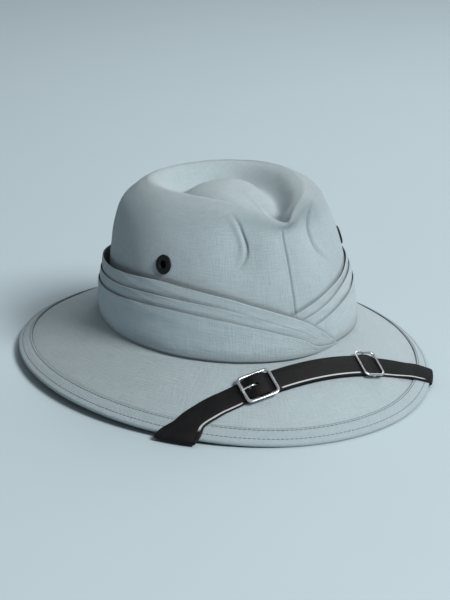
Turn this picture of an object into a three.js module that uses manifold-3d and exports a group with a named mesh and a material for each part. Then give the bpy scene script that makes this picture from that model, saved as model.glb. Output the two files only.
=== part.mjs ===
// Safari hat: a sewn cotton crown with a teardrop dent, a sloping brim bound along its edge, a pleated
// puggaree wound round the crown, and a leather chin strap buckled over the front of the brim.
// Millimetres, +Z up, the front of the hat towards -Y. The hat rests on the brim's edge at z = 0.
import * as THREE from "three";
import { mergeVertices } from "three/addons/utils/BufferGeometryUtils.js";
import Module from "manifold-3d";

const wasm = await Module();
wasm.setup();

// ---- Driving dimensions -------------------------------------------------------------------------
const GAP = 0.3; // between touching pieces
const HEAD = { long: 200, wide: 168 }; // the head opening, for a 58 cm head
const COLLAR = { cloth: 1.5, height: 10 }; // the brim's cloth turned up inside the crown
const CROWN = { wall: 2.2, seam: -5, lean: 0.08, backDrop: 6.8 }; // seam: degrees round from the front
const BRIM = { long: 365, wide: 296, thick: 1.6, shift: 12, drop: 43, sideLift: 5.2, arch: 1.5 };
const BINDING = { width: 12, cloth: 1.0 };
const BAND = { start: -125, end: 378, overlap: 3.6 }; // degrees from the front; the overlap's lift
const SWEATBAND = { cloth: 1.2, height: 27 };
const STRAP = { width: 18.4, thick: 1.5, reach: 122.3, turn: -5.6, bend: 9, loose: 5.5 };
const TAB = { flare: 1.12, wide: 1.7, from: -10, to: 3 }; // how the sewn end widens towards the edge
const BUCKLE = { at: -40.2, along: 26.8, wire: 2.3, thick: 1.6 }; // at: along the strap
const SLIDE = { at: 52.6, along: 19.5, wire: 1.8, thick: 1.4 };
const BAR = { height: 3.1, radius: 1.0 }; // the buckle's centre bar, above the strap's lowest face
const EYELET = { apart: 64.5, height: 59, flange: 7.2, barrel: 3.9, bore: 2.9 };
const AROUND = 52; // facets round the hat

const deg = THREE.MathUtils.degToRad;
const { lerp, clamp, smoothstep } = THREE.MathUtils;
const FOOT = COLLAR.cloth + GAP + CROWN.wall; // from the head opening to the outside of the crown's foot
const BASE = { a: HEAD.long / 2 + FOOT, b: HEAD.wide / 2 + FOOT };
const EDGE = { a: BRIM.long / 2, b: BRIM.wide / 2 };
const RIM = BRIM.thick / 2 + GAP + BINDING.cloth; // half the thickness of the bound edge
const REST_ANGLE = deg(18); // the edge lies on the surface this far either side of front and back
const SINK = BRIM.thick * 0.6; // the middle of the brim's cloth below the crown's foot
const BREAK = BRIM.drop + RIM * Math.cos(REST_ANGLE) + SINK; // height of the crown's foot

// ---- Helpers ------------------------------------------------------------------------------------
const v3 = (x, y, z) => new THREE.Vector3(x, y, z);
const steps = (n, from, to) => Array.from({ length: n + 1 }, (_, i) => lerp(from, to, i / n));

// A closed skin through loops that all have the same number of points. Open chains get flat ends.
function skin(loops, closed = false) {
  const count = loops[0].length;
  const index = [];
  const last = closed ? loops.length : loops.length - 1;
  for (let i = 0; i < last; i++) {
    const k = (i + 1) % loops.length;
    for (let j = 0; j < count; j++) {
      const n = (j + 1) % count;
      const [p, q, r, s] = [i * count + j, i * count + n, k * count + n, k * count + j];
      index.push(p, q, r, p, r, s);
    }
  }
  if (!closed) {
    for (const [loop, flip] of [[0, true], [loops.length - 1, false]]) {
      for (const [p, q, r] of capFaces(loops[loop])) {
        const face = [p, q, r].map((i) => loop * count + i);
        index.push(...(flip ? face.reverse() : face));
      }
    }
  }
  const geometry = new THREE.BufferGeometry().setFromPoints(loops.flat());
  geometry.setIndex(index);
  return outward(geometry);
}

// Triangles that fill one flat loop, turned the way the loop runs.
function capFaces(loop) {
  const normal = v3(0, 0, 0);
  loop.forEach((p, i) => normal.add(v3().crossVectors(p, loop[(i + 1) % loop.length])));
  normal.normalize();
  const across = v3().subVectors(loop[1], loop[0]).projectOnPlane(normal).normalize();
  const up = v3().crossVectors(normal, across);
  const flat = loop.map((p) => new THREE.Vector2(p.dot(across), p.dot(up)));
  return THREE.ShapeUtils.triangulateShape(flat, []);
}

// Turns the faces round if they enclose a negative volume.
function outward(geometry) {
  const at = geometry.attributes.position;
  const ids = geometry.index.array;
  const corner = (i) => v3().fromBufferAttribute(at, ids[i]);
  let volume = 0;
  for (let i = 0; i < ids.length; i += 3) {
    volume += corner(i).dot(v3().crossVectors(corner(i + 1), corner(i + 2)));
  }
  if (volume < 0) geometry.setIndex(Array.from(ids).reverse());
  geometry.computeVertexNormals();
  return geometry;
}

function solid(geometry) {
  const bare = geometry.clone();
  bare.deleteAttribute("normal");
  bare.deleteAttribute("uv");
  const merged = mergeVertices(bare, 1e-4);
  const vertProperties = new Float32Array(merged.attributes.position.array);
  const triVerts = new Uint32Array(merged.index.array);
  return new wasm.Manifold(new wasm.Mesh({ numProp: 3, vertProperties, triVerts }));
}

function fromSolid(body) {
  const { vertProperties, triVerts } = body.getMesh();
  const geometry = new THREE.BufferGeometry();
  geometry.setAttribute("position", new THREE.BufferAttribute(vertProperties, 3));
  geometry.setIndex(Array.from(triVerts));
  geometry.computeVertexNormals();
  return geometry;
}

const paint = (color, roughness, metalness = 0) =>
  new THREE.MeshStandardMaterial({ color, roughness, metalness, side: THREE.DoubleSide });
const CANVAS = paint(0xa5b8bf, 0.9);
const TRIM = paint(0x9db1b9, 0.9);
const LEATHER = paint(0x141414, 0.5);
const NICKEL = paint(0xb9c4c8, 0.3, 1);
const ENAMEL = paint(0x111111, 0.4, 0.6);

const root = new THREE.Group();
const hat = new THREE.Group(); // the crown's axis stands at the hat's own origin, its foot at z = 0
hat.position.set(0, -BRIM.shift, BREAK);
root.add(hat);

function add(name, geometry, material, parent = hat) {
  const mesh = new THREE.Mesh(geometry, material);
  mesh.name = name;
  parent.add(mesh);
  return mesh;
}

// ---- Crown --------------------------------------------------------------------------------------
// The crown is a cubic B-spline through rings of control points, from its foot to the middle of its top.
// u runs round each ring from the front; front(u) is 1 at the front and falls away to both sides.
const front = (u, power) => Math.pow((1 + Math.cos(u)) / 2, power);
const wallScale = (z) => 1 - 0.237 * Math.pow(Math.max(z, 0) / 100, 2.6);

const wallRing = (z) => (u) =>
  v3(BASE.b * wallScale(z) * Math.sin(u), CROWN.lean * z - BASE.a * wallScale(z) * Math.cos(u), z);

// A ring of the top: half width, reach to the back and to the nose, heights there, how narrow the nose's
// dip is (sharp) and how pointed the ring's front (point). The dip lies over the front seam.
function topRing({ wide, back, nose, z, noseZ, sharp, point }) {
  return (u) => {
    const long = lerp(back, nose, (1 + Math.cos(u)) / 2);
    const width = wide * Math.pow(Math.abs(Math.sin(u / 2)), point);
    const height = z - CROWN.backDrop * ((1 - Math.cos(u)) / 2) ** 2 * Math.min(1, long / 60);
    const dip = front(u - deg(CROWN.seam), sharp);
    return v3(width * Math.sin(u), -long * Math.cos(u), lerp(height, noseZ, dip));
  };
}

const CROWN_RINGS = [
  wallRing(GAP),
  wallRing(20),
  wallRing(40),
  wallRing(58),
  wallRing(73),
  wallRing(84),
  topRing({ wide: 72, back: 87.5, nose: 80, z: 95, noseZ: 87, sharp: 20, point: 0.1 }),
  topRing({ wide: 67, back: 78, nose: 82, z: 102, noseZ: 90, sharp: 20, point: 0.2 }),
  topRing({ wide: 60.5, back: 67, nose: 80, z: 106.5, noseZ: 92, sharp: 20, point: 0.35 }),
  topRing({ wide: 53, back: 60, nose: 74, z: 104, noseZ: 87, sharp: 14, point: 0.5 }),
  topRing({ wide: 44, back: 51, nose: 68, z: 93, noseZ: 83, sharp: 14, point: 0.6 }),
  topRing({ wide: 35, back: 42, nose: 61, z: 89, noseZ: 83, sharp: 12, point: 0.6 }),
  topRing({ wide: 27, back: 33, nose: 51, z: 97, noseZ: 88, sharp: 6, point: 0.5 }),
  topRing({ wide: 14, back: 17, nose: 29, z: 102, noseZ: 97, sharp: 4, point: 0.4 }),
  () => v3(0, 0, 102.5),
];

function spline(rings, u, v) {
  const cell = clamp(Math.floor(v), 0, rings.length - 2);
  const t = v - cell;
  const ring = (i) => {
    if (i < 0) return rings[0](u).multiplyScalar(2).sub(rings[1](u));
    if (i >= rings.length) return rings.at(-1)(u).multiplyScalar(2).sub(rings.at(-2)(u));
    return rings[i](u);
  };
  const weights = [(1 - t) ** 3, 3 * t ** 3 - 6 * t ** 2 + 4, 3 * t * (1 + t - t * t) + 1, t ** 3];
  const point = v3(0, 0, 0);
  weights.forEach((w, i) => point.addScaledVector(ring(cell - 1 + i), w / 6));
  return point;
}

// Soft pinches either side of the front, and the shallow hollow down the front seam.
const PINCHES = [
  { at: CROWN.seam + 24, wide: 10, height: 78, tall: 22, deep: 5 },
  { at: CROWN.seam - 24, wide: 10, height: 78, tall: 22, deep: 5 },
  { at: CROWN.seam, wide: 5, height: 66, tall: 30, deep: 1.4 },
];
const PINCH_FADE = { from: 30, to: 55 }; // no pinch near the axis, all of it out at the wall

function crownPoint(u, v) {
  const point = spline(CROWN_RINGS, u, v);
  const turn = THREE.MathUtils.radToDeg(Math.atan2(Math.sin(u), Math.cos(u)));
  for (const pinch of PINCHES) {
    const side = (turn - pinch.at) / pinch.wide;
    const rise = (point.z - pinch.height) / pinch.tall;
    const inward = pinch.deep * Math.exp(-side * side - rise * rise);
    const radius = Math.hypot(point.x, point.y);
    const shrink = radius > PINCH_FADE.from
      ? (inward * smoothstep(radius, PINCH_FADE.from, PINCH_FADE.to)) / radius : 0;
    point.x *= 1 - shrink;
    point.y *= 1 - shrink;
  }
  return point;
}

const CROWN_TOP = CROWN_RINGS.length - 1;

function crownNormal(u, v) {
  const e = 1e-3;
  const low = Math.max(v - e, 0);
  const high = Math.min(v + e, CROWN_TOP - 0.02);
  const along = v3().subVectors(crownPoint(u, high), crownPoint(u, low));
  const round = v3().subVectors(crownPoint(u + e, v), crownPoint(u - e, v));
  return v3().crossVectors(round, along).normalize();
}

const crownInside = (u, v, depth) => crownPoint(u, v).addScaledVector(crownNormal(u, v), -depth);

// The wall's point at a height above the crown's foot, set out from the cloth by a distance.
function wallPoint(u, z, out) {
  let [low, high] = [0, 5];
  for (let i = 0; i < 30; i++) {
    const middle = (low + high) / 2;
    if (crownPoint(u, middle).z < z) low = middle;
    else high = middle;
  }
  return crownPoint(u, low).addScaledVector(crownNormal(u, low), out);
}

const ROUND = steps(AROUND, 0, 2 * Math.PI).slice(0, -1);
const RISE = [
  ...[0, 1.2, 2.4, 3.4, 4.3], // the wall
  ...[5, 5.7, 6.4, 7, 7.6, 8.2, 8.8], // over the shoulder and its crest
  ...[9.4, 10, 10.7, 11.5, 12.4, 13.4], // the dent and its middle
];

function eyeletFrame(side) {
  const u = deg(CROWN.seam + side * EYELET.apart);
  const at = wallPoint(u, EYELET.height, 0);
  const out = v3().subVectors(wallPoint(u, EYELET.height, 1), at).normalize();
  return { at, turn: new THREE.Quaternion().setFromUnitVectors(v3(0, 1, 0), out) };
}

function crownGeometry() {
  const outer = RISE.map((v) => ROUND.map((u) => crownPoint(u, v)));
  const inner = RISE.map((v) => ROUND.map((u) => crownInside(u, v, CROWN.wall)));
  for (const p of inner[0]) p.z = GAP;
  let body = solid(skin([...inner.reverse(), ...outer]));
  for (const side of [-1, 1]) {
    const { at, turn } = eyeletFrame(side);
    const drill = new THREE.CylinderGeometry(EYELET.barrel + GAP, EYELET.barrel + GAP, 12, 16);
    drill.applyQuaternion(turn).translate(at.x, at.y, at.z);
    body = body.subtract(solid(drill));
  }
  return fromSolid(body);
}

// ---- Brim ---------------------------------------------------------------------------------------
// 0 where the edge rests, rising to 1 at the sides.
function sideways(u) {
  return Math.max(0, Math.sin(u) ** 2 - Math.sin(REST_ANGLE) ** 2) / Math.cos(REST_ANGLE) ** 2;
}

const dropAt = (u) => BRIM.drop - BRIM.sideLift * sideways(u);

// The middle of the brim's cloth: f runs from the crown's foot (0) to the edge (1).
function brimMiddle(u, f) {
  const b = lerp(BASE.b, EDGE.b, f);
  const a = lerp(BASE.a, EDGE.a, f);
  const z = -SINK - dropAt(u) * f + 4 * BRIM.arch * f * (1 - f);
  return v3(b * Math.sin(u), BRIM.shift * f - a * Math.cos(u), z);
}

function brimFrame(u, f) {
  const e = 1e-3;
  const down = v3().subVectors(brimMiddle(u, f + e), brimMiddle(u, f - e));
  const slant = down.length() / (2 * e);
  down.normalize();
  const flat = v3(down.x, down.y, 0).normalize();
  const up = v3(flat.x * -down.z, flat.y * -down.z, Math.hypot(down.x, down.y));
  return { down, up, slant };
}

const brimPoint = (u, f, off) => brimMiddle(u, f).addScaledVector(brimFrame(u, f).up, off);

const BRIM_ROWS = [0.3, 0.65, 1];

function brimGeometry() {
  const half = BRIM.thick / 2;
  const inset = (u, out, z) => v3((BASE.b + out) * Math.sin(u), -(BASE.a + out) * Math.cos(u), z);
  const collarOut = -CROWN.wall - GAP;
  const collarIn = collarOut - COLLAR.cloth;
  return skin(
    ROUND.map((u) => [
      wallPoint(u, COLLAR.height, collarOut),
      inset(u, collarOut, 0),
      inset(u, GAP, 0),
      ...BRIM_ROWS.map((f) => brimPoint(u, f, half)),
      ...[...BRIM_ROWS].reverse().map((f) => brimPoint(u, f, -half)),
      inset(u, -1, -2 * SINK),
      inset(u, collarIn, -SINK),
      wallPoint(u, COLLAR.height, collarIn),
    ]),
    true,
  );
}

// The binding is a folded strip round the edge. Its fold is flat underneath where the hat rests.
function bindingGeometry() {
  const fold = (u, radius, angles) => {
    const { down, up } = brimFrame(u, 1);
    const flat = v3(down.x, down.y, 0).normalize();
    const tilt = Math.atan2(-down.z, Math.hypot(down.x, down.y));
    return angles.map((angle) => {
      const turn = typeof angle === "number" ? angle : Math.PI / 2 - tilt - angle.turn;
      return brimMiddle(u, 1)
        .addScaledVector(flat, radius * Math.cos(turn))
        .add(v3(0, 0, radius * Math.sin(turn)));
    });
  };
  const outside = [
    { turn: 0 },
    { turn: deg(45) },
    { turn: deg(90) },
    -Math.PI / 2 + REST_ANGLE,
    -Math.PI / 2 - REST_ANGLE,
    { turn: Math.PI },
  ];
  const inside = [Math.PI, deg(120), deg(60), 0].map((turn) => ({ turn }));
  const innerRadius = RIM - BINDING.cloth;
  return skin(
    ROUND.map((u) => {
      const f = 1 - BINDING.width / brimFrame(u, 1).slant;
      return [
        brimPoint(u, f, RIM),
        ...fold(u, RIM, outside),
        brimPoint(u, f, -RIM),
        brimPoint(u, f, -innerRadius),
        ...fold(u, innerRadius, inside),
        brimPoint(u, f, innerRadius),
      ];
    }),
    true,
  );
}

// ---- Sweatband ----------------------------------------------------------------------------------
function sweatbandGeometry() {
  const near = CROWN.wall + GAP + COLLAR.cloth + GAP;
  const far = near + SWEATBAND.cloth;
  return skin(
    ROUND.map((u) => [
      wallPoint(u, 1, -near),
      wallPoint(u, SWEATBAND.height, -near),
      wallPoint(u, SWEATBAND.height, -far),
      wallPoint(u, 1, -far),
    ]),
    true,
  );
}

// ---- Puggaree -----------------------------------------------------------------------------------
// One long strip folded into three pleats. It starts under its own end at the front, goes once round and
// sweeps down over its start. angle is in degrees from the front, and the rest are the folds' heights.
const PLEATS = [
  // angle, top, upper, lower
  [-125, 18, 11, 6],
  [-30, 17, 10, 5],
  [-8, 26.4, 19.3, 11.5],
  [4, 32.3, 25, 16.4],
  [16, 37.4, 30.6, 21.8],
  [30, 42.3, 36.8, 27],
  [45, 47, 41, 31.5],
  [62, 47.5, 40.5, 30.5],
  [100, 43, 33.5, 23.5],
  [150, 37.5, 27.5, 18.5],
  [205, 36.5, 27, 18],
  [253, 41.2, 32.5, 24.2],
  [288, 47.6, 37.3, 29.3],
  [304, 46.6, 37.6, 29.6],
  [322, 42.5, 34.5, 26.2],
  [334, 37, 29, 22],
  [345, 31, 22.5, 16.5],
  [356.6, 22.8, 14, 8.8],
  [363, 17.3, 8.5, 3],
  [374, 4.6, 2.2, 1.2],
  [378, 1.8, 1.4, 1],
].map(([angle, top, upper, lower]) => ({ angle, top, upper, lower }));
const PLEAT = { lower: 3.0, middle: 2.3, upper: 1.6 }; // how far each pleat stands out
const BAND_FOOT = 0.7;

function pleatHeights(angle) {
  const i = clamp(PLEATS.filter((row) => row.angle <= angle).length - 1, 0, PLEATS.length - 2);
  const [from, to] = [PLEATS[i], PLEATS[i + 1]];
  const [before, after] = [PLEATS[i - 1] ?? from, PLEATS[i + 2] ?? to];
  const span = to.angle - from.angle;
  const t = (angle - from.angle) / span;
  return ["top", "upper", "lower"].map((fold) => {
    const leaving = ((to[fold] - before[fold]) / (to.angle - before.angle)) * span;
    const arriving = ((after[fold] - from[fold]) / (after.angle - from.angle)) * span;
    const start = (2 * t ** 3 - 3 * t * t + 1) * from[fold] + (t ** 3 - 2 * t * t + t) * leaving;
    return start + (3 * t * t - 2 * t ** 3) * to[fold] + (t ** 3 - t * t) * arriving;
  });
}

// The band's lower edge, just clear of the brim's first facet.
function footPoint(u, out) {
  const point = wallPoint(u, GAP, out);
  const { u: ring, f } = brimPlace(point.x, point.y);
  const [joint] = BRIM_ROWS;
  const fall = brimPoint(ring, joint, BRIM.thick / 2).z * (f / joint);
  return point.setZ(fall + GAP + 0.1);
}

function puggareeGeometry() {
  return skin(
    steps(72, BAND.start, BAND.end).map((angle) => {
      const u = deg(angle);
      const lift = GAP + 0.1 + BAND.overlap * smoothstep(angle, 205, 232);
      const [top, upper, lower] = pleatHeights(angle);
      const third = Math.max(lower, BAND_FOOT + 0.4);
      const second = Math.max(upper, third + 0.4);
      const first = Math.max(top, second + 0.4);
      const at = (z, out) => wallPoint(u, z, lift + out);
      return [
        footPoint(u, lift),
        footPoint(u, lift + PLEAT.lower),
        at(third, PLEAT.lower),
        at(third, PLEAT.middle),
        at(second, PLEAT.middle),
        at(second, PLEAT.upper),
        at(first, PLEAT.upper),
        at(first, 0),
        at(second, 0),
        at(third, 0),
      ];
    }),
  );
}

// ---- Chin strap ---------------------------------------------------------------------------------
// The strap lies on the brim like a straight strip on an unrolled cone. s runs along it from the middle of
// the front, w across it away from the crown, and n stands off the brim's cloth.
const SLOPE = Math.cos(Math.atan2(BRIM.drop, EDGE.a - BASE.a - BRIM.shift));
const MIDDLE_SLANT = STRAP.reach / SLOPE;

function edgeRadius(angle) {
  const [sin, cos] = [Math.sin(angle), Math.cos(angle)];
  const A = (sin / EDGE.b) ** 2 + (cos / EDGE.a) ** 2;
  const B = (BRIM.shift * cos) / EDGE.a ** 2;
  const C = (BRIM.shift / EDGE.a) ** 2 - 1;
  return (-B + Math.sqrt(B * B - A * C)) / A;
}

// Where a plan position lies on the brim: its ring parameter and its fraction.
function brimPlace(x, y) {
  let [low, high] = [-0.2, 1.2];
  for (let i = 0; i < 40; i++) {
    const f = (low + high) / 2;
    const b = lerp(BASE.b, EDGE.b, f);
    const a = lerp(BASE.a, EDGE.a, f);
    if ((x / b) ** 2 + ((y - BRIM.shift * f) / a) ** 2 > 1) low = f;
    else high = f;
  }
  const [a, b] = [lerp(BASE.a, EDGE.a, low), lerp(BASE.b, EDGE.b, low)];
  return { f: low, u: Math.atan2(x / b, (BRIM.shift * low - y) / a) };
}

// How far a place on the strap is past the brim's edge, measured down the slope.
function pastEdge(s, w) {
  const out = MIDDLE_SLANT + w + STRAP.bend * Math.max(0, (-s - 70) / 40) ** 2;
  const slant = Math.hypot(s, out);
  const angle = Math.atan2(s, out) / SLOPE + deg(STRAP.turn);
  return { angle, past: slant - edgeRadius(angle) / SLOPE };
}

const UNDERLAY = { onCloth: BRIM.thick / 2 + GAP, onBinding: RIM + GAP + 0.1 };
const FOLD_LENGTH = Math.PI * (UNDERLAY.onBinding + STRAP.thick / 2);

function strapPoint(s, w, n) {
  const { angle, past } = pastEdge(s, w);
  const inward = past < 0 ? -past : Math.max(0, past - FOLD_LENGTH);
  const radius = edgeRadius(angle) - inward * SLOPE;
  const place = brimPlace(radius * Math.sin(angle), -radius * Math.cos(angle));
  const { down, up } = brimFrame(place.u, place.f);
  const { onCloth, onBinding } = UNDERLAY;
  const off = n + lerp(onBinding, onCloth, smoothstep(inward, BINDING.width + 0.8, BINDING.width + 5));
  const fold = clamp(past / FOLD_LENGTH, 0, 1) * Math.PI;
  const flat = v3(down.x, down.y, 0).normalize();
  return brimMiddle(place.u, place.f)
    .addScaledVector(up, off * Math.cos(fold))
    .addScaledVector(down, off * Math.sin(fold))
    .addScaledVector(flat, (s < 0 ? STRAP.loose : GAP) * Math.sin(fold));
}

// The place along the strap, at a distance across it, that lies a given way past the edge.
function alongFor(side, past, w) {
  let [low, high] = [60, 300];
  for (let i = 0; i < 40; i++) {
    const s = (low + high) / 2;
    if (pastEdge(side * s, w).past < past) low = s;
    else high = s;
  }
  return side * low;
}

const ACROSS = steps(3, -STRAP.width / 2, STRAP.width / 2);
const UNDER_ROWS = [6, 12.5, 17, 28, 40, 50].map((inward) => FOLD_LENGTH + inward);
const TURN_ROWS = [-17, -12.5, -6, ...steps(8, 0, FOLD_LENGTH), ...UNDER_ROWS];

// The end of a strap that turns under the brim, as loops across it, from the brim's top to its sewn end.
// The buckled side's end is a wider tab.
function turnedEnd(side) {
  return TURN_ROWS.map((past) => {
    const tab = side < 0 ? lerp(TAB.flare, TAB.wide, smoothstep(past, TAB.from, TAB.to)) : 1;
    const row = (n, list) =>
      list.map((w) => strapPoint(alongFor(side, past, w * tab), w * tab, n));
    return [...row(0, ACROSS), ...row(STRAP.thick, [...ACROSS].reverse())];
  });
}

// A strip that follows a line of [s, n] places, the middle of its thickness. A third number is half of a
// thickness that differs from the strap's own.
function strip(line) {
  return line.map(([s, n, half = STRAP.thick / 2], i) => {
    const [before, after] = [line[i - 1] ?? line[i], line[i + 1] ?? line[i]];
    const way = new THREE.Vector2(after[0] - before[0], after[1] - before[1]).normalize();
    const [ds, dn] = [-way.y * half, way.x * half];
    return [
      ...ACROSS.map((w) => strapPoint(s - ds, w, n - dn)),
      ...[...ACROSS].reverse().map((w) => strapPoint(s + ds, w, n + dn)),
    ];
  });
}

// Levels of the layers above the brim, at the middle of the leather.
const LOW = STRAP.thick / 2;
const HIGH = LOW + STRAP.thick + GAP;
const SLEEVE = BAR.radius + 1; // middle of the 1 mm leather round the bar
const FRAME_FOOT = 2 * STRAP.thick + 2 * GAP + 0.2; // underside of the frames, above the strap's lowest face

const TAIL_REACH = 8.8; // from the slide's middle to the strap's free end, under the slide's frame

// Where the buckled strap runs: along the brim, up under the buckle, over its bar, through the slide.
function tongueLine() {
  const b = BUCKLE.at;
  const over = BAR.height + SLEEVE + 0.5 + GAP + STRAP.thick / 2;
  return [
    [-88, LOW], [-78, LOW], [-68, LOW], [b - 17, LOW + 0.3], [b - 13, HIGH - 0.4], [b - 9.5, HIGH + 0.1],
    [b - 6, over - 1.6], [b - 3, over - 0.2], [b, over], [b + 3, over - 0.2], [b + 6, over - 1.6],
    [b + 9.5, HIGH + 0.1], [b + 14, HIGH], [-24, HIGH], [-12, HIGH], [0, HIGH], [12, HIGH], [24, HIGH],
    [36, HIGH], [SLIDE.at - 12, HIGH], [SLIDE.at - 6.5, HIGH], [SLIDE.at - 2.4, HIGH + 1.2],
    [SLIDE.at, HIGH + 1.4], [SLIDE.at + 2.4, HIGH + 1.2], [SLIDE.at + 6.5, HIGH],
    [SLIDE.at + TAIL_REACH, HIGH],
  ];
}

function strapLeftGeometry() {
  const loops = [...turnedEnd(-1).reverse(), ...strip(tongueLine())];
  const body = solid(skin(loops)).subtract(solid(slotGeometry(BUCKLE.at - 3.2, 8.4, 3.2)));
  return fromSolid(body);
}

// The other strap lies underneath. Its end is pared thin and curled back round the buckle's bar.
function strapRightGeometry() {
  const b = BUCKLE.at;
  const thin = 0.5;
  const curl = steps(10, deg(235), deg(-72)).map((turn) => [
    b + SLEEVE * Math.cos(turn),
    BAR.height + SLEEVE * Math.sin(turn),
    thin,
  ]);
  const lead = [[b + 3, 0.95, thin], [b + 5.5, LOW, thin], [b + 9, LOW]];
  const flat = steps(9, b + 16, 88).map((s) => [s, LOW]);
  const body = solid(skin([...strip([...curl, ...lead, ...flat]), ...turnedEnd(1)]));
  return fromSolid(body.subtract(solid(slotGeometry(b, 7, 3.2))));
}

// A place on the strap as a frame: x along it, y across it away from the crown, z off the brim.
function strapFrame(s) {
  const at = strapPoint(s, 0, 0);
  const along = v3().subVectors(strapPoint(s + 0.5, 0, 0), strapPoint(s - 0.5, 0, 0)).normalize();
  const off = v3().subVectors(strapPoint(s, 0, 1), at).normalize();
  const across = v3().crossVectors(off, along).normalize();
  const up = v3().crossVectors(along, across);
  return new THREE.Matrix4().makeBasis(along, across, up).setPosition(at);
}

// A tall box through the strap, for the slot that the prong comes through.
function slotGeometry(s, long, wide) {
  return new THREE.BoxGeometry(long, wide, 12).translate(0, 0, 4.5).applyMatrix4(strapFrame(s));
}

// ---- Buckle and slide ---------------------------------------------------------------------------
function roundedRectangle(path, long, wide, radius) {
  const [x, y] = [long / 2, wide / 2];
  path.moveTo(x, -y + radius);
  for (const [right, up, start] of [[1, 1, 0], [-1, 1, 90], [-1, -1, 180], [1, -1, 270]]) {
    const centre = [right * (x - radius), up * (y - radius)];
    path.absarc(...centre, radius, deg(start), deg(start + 90));
  }
  path.closePath();
  return path;
}

function frameSolid({ along, wire, thick }, wide) {
  const shape = roundedRectangle(new THREE.Shape(), along, wide, 3.2);
  shape.holes.push(roundedRectangle(new THREE.Path(), along - 2 * wire, wide - 2 * wire, 1.4));
  const ring = new THREE.ExtrudeGeometry(shape, { depth: thick, bevelEnabled: false, curveSegments: 3 });
  return solid(ring.translate(0, 0, FRAME_FOOT));
}

const FRAME_WIDE = STRAP.width + 5.4;
const POST = 2.2; // joins the frame to the end of its lower centre bar

function buckleGeometry() {
  const rail = FRAME_WIDE / 2 - 1;
  const bar = new THREE.CylinderGeometry(BAR.radius, BAR.radius, 2 * rail, 10).translate(0, 0, BAR.height);
  let body = frameSolid(BUCKLE, FRAME_WIDE).add(solid(bar));
  for (const side of [-1, 1]) {
    const post = new THREE.BoxGeometry(2.4, 1.8, POST);
    body = body.add(solid(post.translate(0, side * rail, FRAME_FOOT + 0.5 - POST / 2)));
  }
  return fromSolid(body);
}

function prongGeometry() {
  const ringShape = new THREE.Shape().absarc(0, 0, BAR.radius + GAP + 1, 0, 2 * Math.PI);
  ringShape.holes.push(new THREE.Path().absarc(0, 0, BAR.radius + GAP, 0, 2 * Math.PI));
  const ring = new THREE.ExtrudeGeometry(ringShape, { depth: 1.8, bevelEnabled: false, curveSegments: 8 });
  ring.rotateX(Math.PI / 2).translate(0, 0.9, BAR.height);
  const foot = FRAME_FOOT + BUCKLE.thick + GAP + 0.8;
  const arc = new THREE.CatmullRomCurve3([
    v3(-0.6, 0, BAR.height + 1.8),
    v3(-3.6, 0, BAR.height + 4.0),
    v3(-7.5, 0, foot + 0.9),
    v3(-BUCKLE.along / 2 - 0.6, 0, foot),
  ]);
  const circle = new THREE.Shape().absarc(0, 0, 0.8, 0, 2 * Math.PI);
  const arm = new THREE.ExtrudeGeometry(circle, { extrudePath: arc, steps: 7, curveSegments: 6 });
  return fromSolid(solid(ring).add(solid(arm)));
}

function slideGeometry() {
  const rail = FRAME_WIDE / 2 - 1;
  const barFoot = STRAP.thick + GAP + 0.1;
  const bar = new THREE.BoxGeometry(2.4, 2 * rail, 0.9).translate(0, 0, barFoot + 0.45);
  let body = frameSolid(SLIDE, FRAME_WIDE).add(solid(bar));
  for (const side of [-1, 1]) {
    const tall = FRAME_FOOT + 1 - barFoot;
    const post = new THREE.BoxGeometry(2.4, 1.7, tall).translate(0, side * rail, barFoot + tall / 2);
    body = body.add(solid(post));
  }
  return fromSolid(body);
}

// ---- Eyelets ------------------------------------------------------------------------------------
// A lathed grommet: its barrel lines the hole, its flanges lie outside and inside the cloth.
function eyeletGeometry() {
  const { bore, barrel, flange } = EYELET;
  const outer = GAP + 0.1;
  const inner = -CROWN.wall - GAP - 0.35;
  const profile = [
    [bore, inner - 0.7], [flange - 1, inner - 0.7], [flange - 1, inner], [barrel, inner],
    [barrel, outer], [flange, outer], [flange - 0.5, outer + 0.9], [bore + 0.7, outer + 1.3],
    [bore, outer + 0.9], [bore, inner - 0.7],
  ].map(([r, h]) => new THREE.Vector2(r, h));
  return new THREE.LatheGeometry(profile, 14);
}

// ---- The hat ------------------------------------------------------------------------------------
add("crown", crownGeometry(), CANVAS);
add("brim", brimGeometry(), CANVAS);
add("brim_binding", bindingGeometry(), TRIM);
add("sweatband", sweatbandGeometry(), TRIM);
add("puggaree", puggareeGeometry(), TRIM);
add("chin_strap_left", strapLeftGeometry(), LEATHER);
add("chin_strap_right", strapRightGeometry(), LEATHER);
for (const [name, side] of [["eyelet_right", -1], ["eyelet_left", 1]]) {
  const { at, turn } = eyeletFrame(side);
  const eyelet = add(name, eyeletGeometry(), ENAMEL);
  eyelet.position.copy(at);
  eyelet.quaternion.copy(turn);
}
for (const [name, geometry, s] of [
  ["buckle_frame", buckleGeometry(), BUCKLE.at],
  ["buckle_prong", prongGeometry(), BUCKLE.at],
  ["strap_slide", slideGeometry(), SLIDE.at],
]) {
  const fitting = add(name, geometry, NICKEL);
  strapFrame(s).decompose(fitting.position, fitting.quaternion, fitting.scale);
}

export default root;
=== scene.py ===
"""Safari hat: sewn cotton crown, bound brim, pleated puggaree and buckled leather chin strap.

Every surface is worked out in millimetres in the hat's own frame, whose origin is the crown's axis at the
crown's foot, with +Z up and the front of the hat towards -Y. build_mesh() puts it in the row frame, in
metres. u is an angle round the hat from its front, in radians, and grids have one row for each loop of cloth.
"""

import math

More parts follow.
